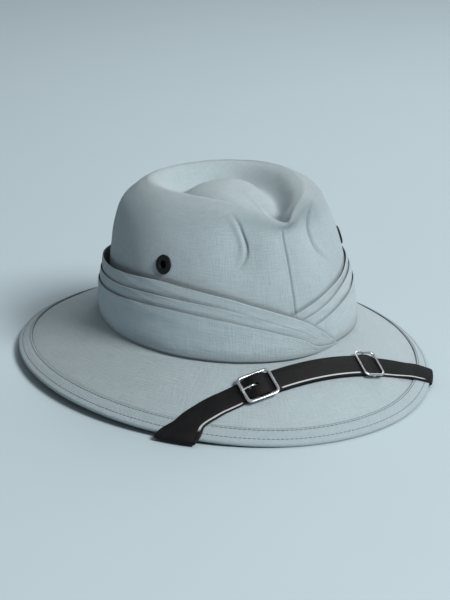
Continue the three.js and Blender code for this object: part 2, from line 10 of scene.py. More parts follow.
import bmesh
import bpy
import numpy as np
from bpy.props import FloatProperty, FloatVectorProperty, PointerProperty
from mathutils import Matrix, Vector


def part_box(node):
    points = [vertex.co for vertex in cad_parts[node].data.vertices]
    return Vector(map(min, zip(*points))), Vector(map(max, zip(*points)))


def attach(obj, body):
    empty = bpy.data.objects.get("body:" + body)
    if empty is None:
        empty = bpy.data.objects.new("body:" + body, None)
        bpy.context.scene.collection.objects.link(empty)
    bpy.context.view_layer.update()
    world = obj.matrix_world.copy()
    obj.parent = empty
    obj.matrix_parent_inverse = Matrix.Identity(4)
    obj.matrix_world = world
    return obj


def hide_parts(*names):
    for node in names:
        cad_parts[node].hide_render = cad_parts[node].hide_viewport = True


bl_info = {
    "name": "Safari Hat",
    "version": (1, 0, 0),
    "blender": (4, 5, 0),
    "location": "View3D > Sidebar > Safari Hat",
    "description": "Builds a cotton safari hat with its band, chin strap and fittings",
    "category": "Add Mesh",
}

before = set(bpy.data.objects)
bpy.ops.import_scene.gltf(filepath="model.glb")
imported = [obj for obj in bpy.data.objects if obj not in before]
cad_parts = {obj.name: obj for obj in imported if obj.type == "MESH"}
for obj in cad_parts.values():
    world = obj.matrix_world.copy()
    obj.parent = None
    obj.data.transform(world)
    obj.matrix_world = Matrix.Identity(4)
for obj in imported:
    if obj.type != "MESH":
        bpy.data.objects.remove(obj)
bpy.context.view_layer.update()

# ---- Driving sizes, in millimetres ----------------------------------------------------------------
GAP = 0.3  # between touching pieces
HEAD_LONG, HEAD_WIDE = 200.0, 168.0  # the head opening
COLLAR_CLOTH, COLLAR_HEIGHT = 1.5, 10.0  # the brim's cloth turned up inside the crown
CROWN_WALL, CROWN_SEAM, CROWN_LEAN = 2.2, -5.0, 0.08  # cloth, seam's degrees from the front, lean back
WALL_TAPER, WALL_POWER = 0.237, 2.6  # how much the wall draws in, and how late it does so
BACK_DROP, FULL_DROP_REACH = 6.8, 60.0  # the top's fall at the back, and the reach of a ring that falls fully
BRIM_LONG, BRIM_WIDE, BRIM_THICK = 365.0, 296.0, 1.6
BRIM_SHIFT, BRIM_DROP = 12.0, 43.0  # of the edge, back from the crown's axis and down from its foot
BRIM_SIDE_LIFT, BRIM_ARCH = 5.2, 1.5  # of the edge at the sides, and of the slope halfway down
BINDING_WIDTH, BINDING_CLOTH = 12.0, 1.0
SWEATBAND_CLOTH, SWEATBAND_HEIGHT = 1.2, 27.0
BAND_START, BAND_END, BAND_OVERLAP = -125.0, 378.0, 3.6  # degrees from the front, and the overlap's lift
STRAP_WIDTH, STRAP_THICK = 18.4, 1.5
STRAP_REACH, STRAP_TURN = 122.3, -5.6  # from the crown's axis to the strap's middle, and degrees sideways
STRAP_BEND, STRAP_LOOSE = 9.0, 5.5  # outwards at the buckled end, and clear of the brim's edge there
TAB_FLARE, TAB_WIDE, TAB_FROM, TAB_TO = 1.12, 1.7, -10.0, 3.0  # how the sewn end widens towards the edge
# places along the strap, lengths along it, widths of the wire and its thickness
BUCKLE_AT, BUCKLE_ALONG, BUCKLE_WIRE, BUCKLE_THICK = -40.2, 26.8, 2.3, 1.6
SLIDE_AT, SLIDE_ALONG, SLIDE_WIRE, SLIDE_THICK = 52.6, 19.5, 1.8, 1.4
BAR_HEIGHT, BAR_RADIUS, FRAME_CORNER = 3.1, 1.0, 4.6
EYELET_APART, EYELET_HEIGHT = 64.5, 59.0  # degrees on each side of the seam, and above the crown's foot
EYELET_FLANGE, EYELET_BARREL, EYELET_BORE = 7.2, 3.9, 2.9  # radii

CROWN_FOOT = 1000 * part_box("crown")[0].z - GAP  # its height in the row frame
BASE_LONG = HEAD_LONG / 2 + COLLAR_CLOTH + GAP + CROWN_WALL
BASE_WIDE = HEAD_WIDE / 2 + COLLAR_CLOTH + GAP + CROWN_WALL
EDGE_LONG, EDGE_WIDE = BRIM_LONG / 2, BRIM_WIDE / 2
RIM = BRIM_THICK / 2 + GAP + BINDING_CLOTH  # half the thickness of the bound edge
REST_ANGLE = math.radians(18)  # the edge is level this far round from the front and the back
SINK = BRIM_THICK * 0.6  # of the brim's middle under the crown's foot
TURN = 2 * math.pi


# ---- Settings that a user would change --------------------------------------------------------------
def colour(name, description, default):
    """A colour setting."""
    return FloatVectorProperty(
        name=name, description=description, subtype="COLOR", size=3, min=0, max=1, default=default
    )


class SafariHatColours(bpy.types.PropertyGroup):
    """The colours of the hat's cloth, leather and metal, and of the floor."""

    canvas: colour("Canvas", "Crown and brim", (0.400, 0.492, 0.530))
    binding: colour("Binding", "Tape round the brim's edge", (0.372, 0.462, 0.500))
    band: colour("Puggaree", "Pleated band", (0.405, 0.498, 0.535))
    sweatband: colour("Sweatband", "Ribbed tape inside the crown", (0.22, 0.28, 0.31))
    thread: colour("Thread", "Sewing thread", (0.13, 0.17, 0.19))
    leather: colour("Leather", "Chin strap", (0.0035, 0.0035, 0.004))
    # The strap's pale line: a painted highlight along its outer edge, shown as worn leather.
    wear_and_painted_highlight: colour("Worn leather", "The line along the chin strap's outer edge", (0.42, 0.45, 0.46))
    nickel: colour("Nickel", "Buckle and slide", (0.72, 0.74, 0.76))
    enamel: colour("Enamel", "Eyelets", (0.004, 0.004, 0.004))
    floor: colour("Floor", "Ground under the hat", (0.41, 0.50, 0.54))


class SafariHatSewing(bpy.types.PropertyGroup):
    """The sizes of the weave and the sewing, in metres."""

    canvas_thread: FloatProperty(
        name="Canvas thread", description="Pitch of the canvas weave", default=0.0008, unit="LENGTH"
    )
    band_thread: FloatProperty(
        name="Band thread", description="Pitch of the band's weave", default=0.0006, unit="LENGTH"
    )
    stitch: FloatProperty(
        name="Stitch", description="Length of one stitch with its gap", default=0.0034, unit="LENGTH"
    )
    thread: FloatProperty(
        name="Thread", description="Thickness of the sewing thread", default=0.0006, unit="LENGTH"
    )


def colours():
    """The colour settings."""
    return bpy.context.scene.safari_hat_colours


def sewing():
    """The sewing settings."""
    return bpy.context.scene.safari_hat_sewing


# ---- Small numpy helpers ------------------------------------------------------------------------------
def lerp(a, b, t):
    """Straight blend from a to b."""
    return a + (b - a) * t


def smooth(x, low, high):
    """0 below low, 1 above high, with the cubic 3t^2 - 2t^3 between."""
    t = np.clip((x - low) / (high - low), 0, 1)
    return t * t * (3 - 2 * t)


def fall(x, low, high):
    """1 below low and 0 above high, with smooth()'s cubic between."""
    return smooth(-x, -high, -low)


def hump(x, half):
    """A bell curve that is 1 at x = 0: exp(-(x / half)^2)."""
    return np.exp(-((x / half) ** 2))


def circle(count):
    """Angles evenly spaced round a circle, from 0."""
    return np.linspace(0, TURN, count, endpoint=False)


def halving(low, high, steps, under):
    """The place between low and high up to which under(place) holds, by halving."""
    for _ in range(steps):
        middle = (low + high) / 2
        below = under(middle)
        low, high = np.where(below, middle, low), np.where(below, high, middle)
    return low


def unit(vectors):
    """Vectors scaled to length 1."""
    return vectors / np.maximum(np.linalg.norm(vectors, axis=-1, keepdims=True), 1e-12)


def stack(x, y, z):
    """Points from three arrays of one shape."""
    return np.stack(np.broadcast_arrays(x, y, z), axis=-1)


def curve(points, samples, closed=False):
    """Catmull-Rom curve through points along axis 0: each cell is the cubic whose ends have half the
    difference of their neighbours as slope. samples is how many steps a cell takes."""
    points = np.asarray(points, float)
    count = len(points)
    t = np.arange(count * samples if closed else (count - 1) * samples + 1) / samples
    cell = np.floor(t).astype(int) if closed else np.minimum(t.astype(int), count - 2)
    f = (t - cell).reshape((-1,) + (1,) * (points.ndim - 1))
    near = [cell + k for k in (-1, 0, 1, 2)]
    a, b, c, d = (points[k % count if closed else np.clip(k, 0, count - 1)] for k in near)
    return 0.5 * (2 * b + (c - a) * f + (2 * a - 5 * b + 4 * c - d) * f**2 + (3 * b - a - 3 * c + d) * f**3)


def ripple(points, wavelength, seed, stretch=(1, 1, 1)):
    """Soft noise between about -1 and 1: the mean of nine sine waves with random directions and phases."""
    random = np.random.default_rng(seed)
    waves = unit(random.normal(size=(9, 3))) * random.uniform(0.6, 1.5, (9, 1)) * TURN / wavelength
    phases = random.uniform(0, TURN, 9)
    return np.sin((points / np.asarray(stretch)) @ waves.T + phases).mean(axis=-1) * 2


def running_length(line):
    """Distance along a line of points from its start."""
    return np.concatenate([[0], np.cumsum(np.linalg.norm(np.diff(line, axis=0), axis=1))])


def interpolate(places, length, values):
    """Vectors at distances along a line, straight between its points."""
    return np.stack([np.interp(places, length, values[:, k]) for k in range(3)], axis=1)


def grid_normals(points):
    """Normals of a grid of points by central differences, where axis 1 goes round."""
    across = np.roll(points, -1, axis=1) - np.roll(points, 1, axis=1)
    return unit(np.cross(across, np.gradient(points, axis=0)))


# ---- Meshes -------------------------------------------------------------------------------------------
def to_row_frame(points):
    """Millimetres in the hat's frame to metres in the row frame."""
    return (np.asarray(points, float) + (0, -BRIM_SHIFT, CROWN_FOOT)) / 1000


def face_corners(faces):
    """The point at each corner of the faces, each face's number of corners, and where its corners start."""
    sizes = np.fromiter(map(len, faces), int)
    return np.concatenate(faces), sizes, np.cumsum(sizes) - sizes


def corner_map(uv, faces, around):
    """The cloth map at each corner of each face. Where a face spans the map's joint, its low corners move on
    by the map's length round the hat."""
    at, sizes, starts = face_corners(faces)
    corners = np.reshape(uv, (-1, 2))[at].astype(float)
    highest = np.maximum.reduceat(corners[:, 0], starts)
    corners[:, 0] += np.where(np.repeat(highest, sizes) - corners[:, 0] > around / 2, around, 0)
    return corners


def build_mesh(name, points, faces, uv=None, marks=None):
    """A piece from points in the hat's frame and faces, with its cloth map at each point or corner in
    millimetres, and point attributes. Its faces are turned outwards, and it is shaded smooth."""
    mesh = bpy.data.meshes.new(name)
    mesh.from_pydata(to_row_frame(points).reshape(-1, 3), [], [list(face) for face in faces])
    for label, values in (marks or {}).items():
        layer = mesh.attributes.new(label, "FLOAT", "POINT")
        layer.data.foreach_set("value", np.asarray(values, np.float32).ravel())
    if uv is not None:
        uv = np.asarray(uv, float).reshape(-1, 2)
        if len(uv) == len(mesh.vertices):
            uv = uv[np.concatenate(faces)]
        layer = mesh.uv_layers.new(name="cloth")
        layer.data.foreach_set("uv", uv.ravel() / 1000)
    body = bmesh.new()
    body.from_mesh(mesh)
    bmesh.ops.recalc_face_normals(body, faces=body.faces)
    body.to_mesh(mesh)
    body.free()
    mesh.shade_smooth()
    piece = bpy.data.objects.new(name, mesh)
    bpy.context.scene.collection.objects.link(piece)
    return piece


def loop_faces(rows, count, closed_rows=False):
    """Quads of a grid whose rows are closed loops of count points. closed_rows joins last row to first."""
    i, j = np.meshgrid(np.arange(rows if closed_rows else rows - 1), np.arange(count), indexing="ij")
    k, n = (i + 1) % rows, (j + 1) % count
    quads = np.stack([i * count + j, i * count + n, k * count + n, k * count + j], axis=-1)
    return quads.reshape(-1, 4).tolist()


def ring_piece(name, grid, u, radius, marks=None, lie=None):
    """A closed ring of cloth from rows round the hat. Its cloth map runs along the ring, at a radius, and
    across its first section, and lie turns the map."""
    shape = grid.shape[:2]
    faces = loop_faces(*shape, closed_rows=True)
    across = running_length(grid[:, 0])[:, None]
    uv = np.stack([np.broadcast_to(u * radius, shape), np.broadcast_to(across, shape)], axis=-1)
    uv = corner_map(uv, faces, TURN * radius)
    return build_mesh(name, grid, faces, uv if lie is None else uv @ lie, marks)


def capped_faces(rows, count):
    """Quads of an open row of loops, and its two flat ends."""
    ends = [list(range(count))[::-1], [(rows - 1) * count + j for j in range(count)]]
    return loop_faces(rows, count) + ends


def cutter(loops):
    """A closed piece between two loops of points, to cut a hole with."""
    return build_mesh("cutter", np.array(loops), capped_faces(2, len(loops[0])))


def finish_piece(piece, material, slot, *nodes):
    """Gives a piece its material and lets it stand for its CAD nodes. Its slot is not used."""
    piece.data.materials.clear()
    piece.data.materials.append(material)
    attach(piece, "root")
    if nodes:
        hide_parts(*nodes)
    return piece


def cut_holes(piece, tools):
    """Cuts closed pieces out of a piece and removes them."""
    bpy.context.view_layer.objects.active = piece
    for tool in tools:
        cut = piece.modifiers.new("hole", "BOOLEAN")
        cut.operation = "DIFFERENCE"
        cut.solver = "MANIFOLD"
        cut.object = tool
        with bpy.context.temp_override(object=piece, active_object=piece):
            bpy.ops.object.modifier_apply(modifier=cut.name)
        bpy.data.objects.remove(tool)
    piece.data.shade_smooth()


# ---- Crown surface ------------------------------------------------------------------------------------
WALL_HEIGHTS = (GAP, 20, 40, 58, 73, 84)
TOP_RINGS = (
    # half width, reach back, reach to the nose, height, nose's height, how narrow the dip, how pointed
    (72, 87.5, 80, 95, 87, 20, 0.1),
    (67, 78, 82, 102, 90, 20, 0.2),
    (60.5, 67, 80, 106.5, 92, 20, 0.35),
    (53, 60, 74, 104, 87, 14, 0.5),
    (44, 51, 68, 93, 83, 14, 0.6),
    (35, 42, 61, 89, 83, 12, 0.6),
    (27, 33, 51, 97, 88, 6, 0.5),
    (14, 17, 25, 102, 98, 3, 0.3),
)
CROWN_TOP = (0.0, 0.0, 102.5)
CROWN_ROWS = len(WALL_HEIGHTS) + len(TOP_RINGS)  # the surface's v at the middle of the top
PINCHES = (
    # degrees round from the front, half width in degrees, height, half height, depth
    (CROWN_SEAM + 24, 10, 78, 22, 5.0),
    (CROWN_SEAM - 24, 10, 78, 22, 5.0),
    (CROWN_SEAM, 5, 66, 30, 1.4),
)
PINCH_FADE_FROM, PINCH_FADE_TO = 30.0, 55.0  # no pinch near the axis, all of it out at the wall
STEP = 1e-3  # the small step of differences


def wall_ring(u, z):
    """An ellipse round the crown's wall that shrinks with height as 1 - taper (z / 100)^power."""
    scale = 1 - WALL_TAPER * (max(z, 0) / 100) ** WALL_POWER
    return stack(BASE_WIDE * scale * np.sin(u), CROWN_LEAN * z - BASE_LONG * scale * np.cos(u), z)


def top_ring(u, wide, back, nose, z, nose_z, sharp, point):
    """A ring of the top: its reach turns from back to nose with (1 + cos u) / 2, its front is pointed by
    |sin(u / 2)|^point, and it dips to nose_z over the seam with ((1 + cos(u - seam)) / 2)^sharp."""
    forward = (1 + np.cos(u)) / 2
    long = lerp(back, nose, forward)
    width = wide * np.abs(np.sin(u / 2)) ** point
    height = z - BACK_DROP * (1 - forward) ** 2 * np.minimum(1, long / FULL_DROP_REACH)
    dip = ((1 + np.cos(u - math.radians(CROWN_SEAM))) / 2) ** sharp
    return stack(width * np.sin(u), -long * np.cos(u), lerp(height, nose_z, dip))


def spline_weights(v, count):
    """Uniform cubic B-spline weights of count controls at each v, whose end controls are mirrored."""
    cell = np.clip(np.floor(v).astype(int), 0, count - 2)
    t = v - cell
    basis = np.stack([(1 - t) ** 3, 3 * t**3 - 6 * t**2 + 4, 3 * t * (1 + t - t * t) + 1, t**3]) / 6
    weights = np.zeros((len(v), count + 2))
    for k in range(4):
        weights[np.arange(len(v)), cell + k] += basis[k]
    weights[:, 1] += 2 * weights[:, 0]
    weights[:, 2] -= weights[:, 0]
    weights[:, count] += 2 * weights[:, count + 1]
    weights[:, count - 1] -= weights[:, count + 1]
    return weights[:, 1:-1]


def crown_at(u, v):
    """The crown's cloth at u round from the front and v up: a B-spline through the rings, pushed inward by
    the pinches, each depth * exp(-(turn / wide)^2 - (rise / tall)^2)."""
    u, v = (np.asarray(x, float) for x in np.broadcast_arrays(u, v))
    flat_u, flat_v = u.ravel(), v.ravel()
    rings = [wall_ring(flat_u, z) for z in WALL_HEIGHTS] + [top_ring(flat_u, *row) for row in TOP_RINGS]
    rings.append(np.broadcast_to(CROWN_TOP, rings[0].shape))
    points = np.einsum("nk,knc->nc", spline_weights(flat_v, len(rings)), np.array(rings))
    turn = np.degrees(np.arctan2(np.sin(flat_u), np.cos(flat_u)))
    for at, wide, height, tall, deep in PINCHES:
        inward = deep * np.exp(-(((turn - at) / wide) ** 2) - ((points[:, 2] - height) / tall) ** 2)
        radius = np.hypot(points[:, 0], points[:, 1])
        inward *= smooth(radius, PINCH_FADE_FROM, PINCH_FADE_TO)
        points[:, :2] *= (1 - inward / np.maximum(radius, 1))[:, None]
    return points.reshape(u.shape + (3,))


def crown_normal(u, v):
    """The outward normal, from differences of crown_at."""
    low, high = np.maximum(v - STEP, 0), np.minimum(v + STEP, CROWN_ROWS - 0.02)
    along = crown_at(u, high) - crown_at(u, low)
    return unit(np.cross(crown_at(u + STEP, v) - crown_at(u - STEP, v), along))


def wall_v(u, z):
    """The v at which the wall reaches height z."""
    u, z = np.broadcast_arrays(u, z)
    low, high = np.zeros(u.shape), np.full(u.shape, 5.0)
    return halving(low, high, 24, lambda v: crown_at(u, v)[..., 2] < z)


def wall_point(u, z, out):
    """The wall's point at height z, set out along its normal."""
    v = wall_v(u, z)
    return crown_at(u, v) + crown_normal(u, v) * np.asarray(out)[..., None]


# ---- Brim surface -------------------------------------------------------------------------------------
def drop_at(u):
    """How far the edge lies below the crown's foot: most at front and back, less at the sides."""
    sideways = np.maximum(0, np.sin(u) ** 2 - math.sin(REST_ANGLE) ** 2) / math.cos(REST_ANGLE) ** 2
    return BRIM_DROP - BRIM_SIDE_LIFT * sideways


def brim_middle(u, f):
    """The middle of the brim's cloth, f from the crown's foot (0) to the edge (1): ellipses whose centre
    slides back by BRIM_SHIFT, falling evenly with an arch of 4 f (1 - f) BRIM_ARCH."""
    x = lerp(BASE_WIDE, EDGE_WIDE, f) * np.sin(u)
    y = BRIM_SHIFT * f - lerp(BASE_LONG, EDGE_LONG, f) * np.cos(u)
    return stack(x, y, -SINK - drop_at(u) * f + 4 * BRIM_ARCH * f * (1 - f))


def brim_frame(u, f):
    """Directions down the brim, up from its cloth and level outwards, and its length for each unit of f."""
    down = brim_middle(u, f + STEP) - brim_middle(u, f - STEP)
    slant = np.linalg.norm(down, axis=-1) / (2 * STEP)
    down = unit(down)
    level = unit(down * (1, 1, 0))
    drop, run = -down[..., 2:], np.linalg.norm(down[..., :2], axis=-1, keepdims=True)
    up = np.concatenate([level[..., :2] * drop, run], axis=-1)
    return down, up, level, slant


def brim_point(u, f, off):
    """The brim's middle set off along its up direction."""
    return brim_middle(u, f) + brim_frame(u, f)[1] * np.asarray(off)[..., None]


def brim_place(x, y):
    """The brim's u and f at a plan position: the f whose ellipse passes through it."""

    def on_ellipse(f):
        return x / lerp(BASE_WIDE, EDGE_WIDE, f), (BRIM_SHIFT * f - y) / lerp(BASE_LONG, EDGE_LONG, f)

    low, high = np.full(x.shape, -0.2), np.full(x.shape, 1.2)
    f = halving(low, high, 32, lambda f: sum(part**2 for part in on_ellipse(f)) > 1)
    return np.arctan2(*on_ellipse(f)), f


# ---- Strap surface ------------------------------------------------------------------------------------
SLOPE = math.cos(math.atan2(BRIM_DROP, EDGE_LONG - BASE_LONG - BRIM_SHIFT))  # of the brim's unrolled cone
MIDDLE_SLANT = STRAP_REACH / SLOPE
ON_CLOTH, ON_BINDING = BRIM_THICK / 2 + GAP, RIM + GAP + 0.1  # the strap's height off the brim's middle
STEP_DOWN = 14.0  # the way over which it comes down off the binding
BEND_FROM, BEND_OVER = 70.0, 40.0  # where its buckled end bends, and over how far it bends fully
FOLD_LENGTH = math.pi * (ON_BINDING + STRAP_THICK / 2)  # round the brim's edge
LOW = STRAP_THICK / 2  # the middle of the lower strap's leather, off the brim
HIGH = LOW + STRAP_THICK + GAP  # and of the upper one's
SLEEVE = BAR_RADIUS + 1  # the radius of the pared end's turn round the bar
FRAME_FOOT = 2 * STRAP_THICK + 2 * GAP + 0.2  # the underside of the buckle's and the slide's frame
FRAME_WIDE = STRAP_WIDTH + 5.4


def edge_radius(angle):
    """Distance from the crown's axis to the brim's edge in a plan direction: the root of a quadratic."""
    sin, cos = np.sin(angle), np.cos(angle)
    a = (sin / EDGE_WIDE) ** 2 + (cos / EDGE_LONG) ** 2
    b = BRIM_SHIFT * cos / EDGE_LONG**2
    c = (BRIM_SHIFT / EDGE_LONG) ** 2 - 1
    return (-b + np.sqrt(b * b - a * c)) / a


def past_edge(s, w):
    """Plan angle of a place on the strap, and how far down the slope it is past the brim's edge. The strap
    is straight on the unrolled cone, apart from a bend near its buckled end."""
    out = MIDDLE_SLANT + w + STRAP_BEND * np.maximum(0, (-s - BEND_FROM) / BEND_OVER) ** 2
    angle = np.arctan2(s, out) / SLOPE + math.radians(STRAP_TURN)
    return angle, np.hypot(s, out) - edge_radius(angle) / SLOPE


def strap_point(s, w, n):
    """s along the strap from the front, w across it away from the crown, n off the brim. Past the edge it
    turns half a circle round the binding and runs back underneath."""
    s, w, n = (np.asarray(x, float) for x in np.broadcast_arrays(s, w, n))
    angle, past = past_edge(s, w)
    inward = np.where(past < 0, -past, np.maximum(0, past - FOLD_LENGTH))
    radius = edge_radius(angle) - inward * SLOPE
    u, f = brim_place(radius * np.sin(angle), -radius * np.cos(angle))
    down, up, level, _ = brim_frame(u, f)
    off = n + lerp(ON_BINDING, ON_CLOTH, smooth(inward, BINDING_WIDTH, BINDING_WIDTH + STEP_DOWN))
    fold = np.clip(past / FOLD_LENGTH, 0, 1) * math.pi
    loose = np.where(s < 0, STRAP_LOOSE, GAP) * np.sin(fold)
    sweep = up * (off * np.cos(fold))[..., None] + down * (off * np.sin(fold))[..., None]
    return brim_middle(u, f) + sweep + level * loose[..., None]


def along_for(side, past, w):
    """The place along the strap that lies a given way past the edge on one side of the hat."""
    past, w = np.broadcast_arrays(past, w)
    low, high = np.full(w.shape, 60.0), np.full(w.shape, 300.0)
    return side * halving(low, high, 32, lambda s: past_edge(side * s, w)[1] < past)


def strap_frame(s):
    """Axes at a place on the strap: along it, across it away from the crown, and off the brim."""
    at, ahead, behind, above = strap_point([s, s + 0.5, s - 0.5, s], 0, [0, 0, 0, 1])
    along = unit(ahead - behind)
    across = unit(np.cross(above - at, along))
    return at, np.array([along, across, np.cross(along, across)])


def place_on_strap(points, s):
    """Points given along, across and off the strap, set at a place on it."""
    at, axes = strap_frame(s)
    return at + np.asarray(points, float) @ axes


# ---- Node helpers -------------------------------------------------------------------------------------
class Nodes:
    """Adds and links the shader nodes of one material."""

    def __init__(self, name):
        self.material = bpy.data.materials.new(name)
        self.material.use_nodes = True
        self.tree = self.material.node_tree
        self.shader = self.tree.nodes["Principled BSDF"]

    def add(self, kind, inputs=None, **settings):
        """A node with its settings, whose inputs are numbers or other nodes' outputs."""
        node = self.tree.nodes.new(kind)
        for key, value in settings.items():
            setattr(node, key, value)
        for key, value in (inputs or {}).items():
            self.feed(node.inputs[key], value)
        return node

    def feed(self, socket, value):
        """Links an output to a socket, or sets the socket's value."""
        if isinstance(value, bpy.types.NodeSocket):
            self.tree.links.new(value, socket)
        else:
            socket.default_value = value

    def math(self, operation, a, b=0.0):
        """One arithmetic step."""
        return self.add("ShaderNodeMath", {0: a, 1: b}, operation=operation).outputs[0]

    def mix(self, share, a, b):
        """A colour between a and b."""
        return self.add("ShaderNodeMix", {0: share, 6: a, 7: b}, data_type="RGBA").outputs[2]

    def noise(self, scale, place, detail=3.0, roughness=0.5):
        """Noise of a scale per metre at a place."""
        inputs = {"Vector": place, "Scale": scale, "Detail": detail, "Roughness": roughness}
        return self.add("ShaderNodeTexNoise", inputs).outputs["Fac"]

    def ramp(self, value, low, high, to_low=0.0, to_high=1.0):
        """Maps low..high to to_low..to_high, held at the ends."""
        inputs = {0: value, 1: low, 2: high, 3: to_low, 4: to_high}
        return self.add("ShaderNodeMapRange", inputs).outputs[0]

    def bump(self, height, depth, normal=None):
        """Relief of a depth in metres."""
        inputs = {"Height": height, "Distance": depth, "Strength": 1.0}
        if normal is not None:
            inputs["Normal"] = normal
        return self.add("ShaderNodeBump", inputs).outputs["Normal"]

    def object_place(self):
        """Places in the piece's own coordinates."""
        return self.add("ShaderNodeTexCoord").outputs["Object"]

    def cloth_place(self):
        """Places on the piece's own cloth map."""
        return self.add("ShaderNodeUVMap", uv_map="cloth").outputs["UV"]

    def mark(self, name):
        """A piece's own point attribute."""
        return self.add("ShaderNodeAttribute", attribute_name=name).outputs["Fac"]

    def stretched(self, place, scale):
        """Places scaled along each axis, which draws a pattern out along the axes below 1."""
        return self.add("ShaderNodeMapping", {"Vector": place, "Scale": scale}).outputs[0]

    def finish(self, inputs):
        """The material, with its shader's inputs fed by name."""
        for key, value in inputs.items():
            self.feed(self.shader.inputs[key], value)
        return self.material


def shade(colour_value, factor):
    """A colour made darker or lighter, with alpha."""
    return tuple(min(1.0, c * factor) for c in colour_value) + (1.0,)


# ---- Materials ----------------------------------------------------------------------------------------
SLUB, FUZZ = 900, 2600  # scales of the noise of uneven threads and of loose fibres, for each metre
SLUB_LENGTH = 0.09  # how far a slub is drawn out along its thread: the smaller, the longer


def cloth_material(name, tint, pitch, twill, fade=0.12):
    """Woven cotton: threads along and across the cloth map, slubs and faded patches, a soft sheen, and
    painted shade darkened in from the piece's point mark.
    """
    m = Nodes(name)
    cloth = m.cloth_place()
    place = m.object_place()
    axes = m.add("ShaderNodeSeparateXYZ", {0: cloth})
    along = m.math("MULTIPLY", axes.outputs["X"], TURN / pitch)
    across = m.math("MULTIPLY", axes.outputs["Y"], TURN / pitch)
    if twill:
        diagonal = m.math("SINE", m.math("ADD", along, across))
        fine = m.math("SINE", m.math("SUBTRACT", along, across))
        weave = m.math("ADD", diagonal, m.math("MULTIPLY", fine, 0.4))
    else:
        weave = m.math("MULTIPLY", m.math("SINE", along), m.math("SINE", across))
    warp = m.stretched(cloth, (1.0, SLUB_LENGTH, 1.0))
    weft = m.stretched(cloth, (SLUB_LENGTH, 1.0, 1.0))
    slub = m.math("ADD", m.noise(SLUB, warp, 2.0), m.noise(SLUB, weft, 2.0))
    patches = m.noise(28, place, 4.0)
    fuzz = m.noise(FUZZ, place, 2.0)
    tone = m.mix(m.ramp(slub, 0.75, 1.25), shade(tint, 0.94), shade(tint, 1.06))
    wear_and_painted_highlight = m.mix(m.ramp(patches, 0.35, 0.7, 0.0, fade), tone, shade(tint, 1.3))
    threads = m.mix(m.ramp(weave, -1.2, 1.2, 0.0, 0.22), wear_and_painted_highlight, shade(tint, 0.62))
    relief = m.bump(slub, 0.0003, m.bump(weave, 0.00012))
    return m.finish({
        # Where a piece's mark is set, the cloth is darkened towards near black: painted shade.
        "Base Color": m.mix(m.ramp(m.mark("soil_and_painted_shade"), 0, 1, 0, 0.85), threads, shade(tint, 0.2)),
        "Roughness": m.ramp(fuzz, 0.3, 0.7, 0.82, 0.95),
        "Normal": m.bump(fuzz, 0.00012, relief),
        "Specular IOR Level": 0.25,
        "Sheen Weight": 0.18,
        "Sheen Roughness": 0.45,
    })


def ribbed_material(name, tint, pitch):
    """Ribbed tape: fine cords across the tape."""
    m = Nodes(name)
    axes = m.add("ShaderNodeSeparateXYZ", {0: m.cloth_place()})
    ribs = m.math("SINE", m.math("MULTIPLY", axes.outputs["X"], TURN / pitch))
    place = m.object_place()
    soil_and_painted_shade = m.noise(45, place, 4.0)
    fuzz = m.noise(FUZZ, place, 2.0)
    tone = m.mix(m.ramp(soil_and_painted_shade, 0.35, 0.7), shade(tint, 0.86), shade(tint, 1.12))
    return m.finish({
        "Base Color": m.mix(m.ramp(ribs, -1, 1, 0.35, 0.0), tone, shade(tint, 0.55)),
        "Roughness": m.ramp(fuzz, 0.3, 0.7, 0.78, 0.92),
        "Normal": m.bump(fuzz, 0.0001, m.bump(ribs, 0.00018)),
        "Sheen Weight": 0.15,
    })


def thread_material():
    """Twisted cotton thread."""
    m = Nodes("sewing thread")
    twist = m.noise(5200, m.object_place(), 2.0)
    tint = colours().thread
    return m.finish({
        "Base Color": m.mix(twist, shade(tint, 0.8), shade(tint, 1.12)),
        "Normal": m.bump(twist, 0.0001),
        "Roughness": 0.75,
        "Sheen Weight": 0.2,
    })


def leather_material():
    """Black smooth-grain leather with a pale line along its outer edge: partly wear, partly a painted
    highlight.
    """
    m = Nodes("strap leather")
    place = m.object_place()
    cells = m.add("ShaderNodeTexVoronoi", {"Vector": place, "Scale": 1100.0}, feature="DISTANCE_TO_EDGE")
    grain = m.ramp(cells.outputs["Distance"], 0.0, 0.35)
    creases = m.noise(120, place, 5.0, 0.6)
    pores = m.noise(3800, place, 2.0)
    tint, pale = colours().leather, colours().wear_and_painted_highlight
    base = m.mix(m.ramp(creases, 0.4, 0.72), shade(tint, 0.8), shade(tint, 1.6))
    # The pale line along the outer edge: a painted highlight, broken up by the crease noise like wear.
    line = m.math("MULTIPLY", m.ramp(m.mark("wear_and_painted_highlight"), 0.2, 0.9), m.ramp(creases, 0.28, 0.5, 0.8, 1.0))
    relief = m.bump(pores, 0.00004, m.bump(grain, 0.00007))
    return m.finish({
        "Base Color": m.mix(line, base, shade(pale, 1.0)),
        "Roughness": m.ramp(creases, 0.3, 0.7, 0.5, 0.68),
        "Normal": m.bump(creases, 0.0004, relief),
        "Specular IOR Level": 0.2,
    })


def nickel_material():
    """Worn nickel plate: fine scratches one way and cloudy tarnish."""
    m = Nodes("nickel plate")
    place = m.object_place()
    scratches = m.noise(5000, m.stretched(place, (1.0, 0.06, 1.0)), 3.0)
    tarnish = m.noise(260, place, 4.0)
    tint = colours().nickel
    dull, scratched = m.ramp(tarnish, 0.3, 0.7, 0.2, 0.36), m.ramp(scratches, 0.3, 0.7, 0.0, 0.08)
    return m.finish({
        "Base Color": m.mix(m.ramp(tarnish, 0.4, 0.75), shade(tint, 1.0), shade(tint, 0.72)),
        "Roughness": m.math("ADD", dull, scratched),
        "Normal": m.bump(scratches, 0.00002),
        "Metallic": 1.0,
    })


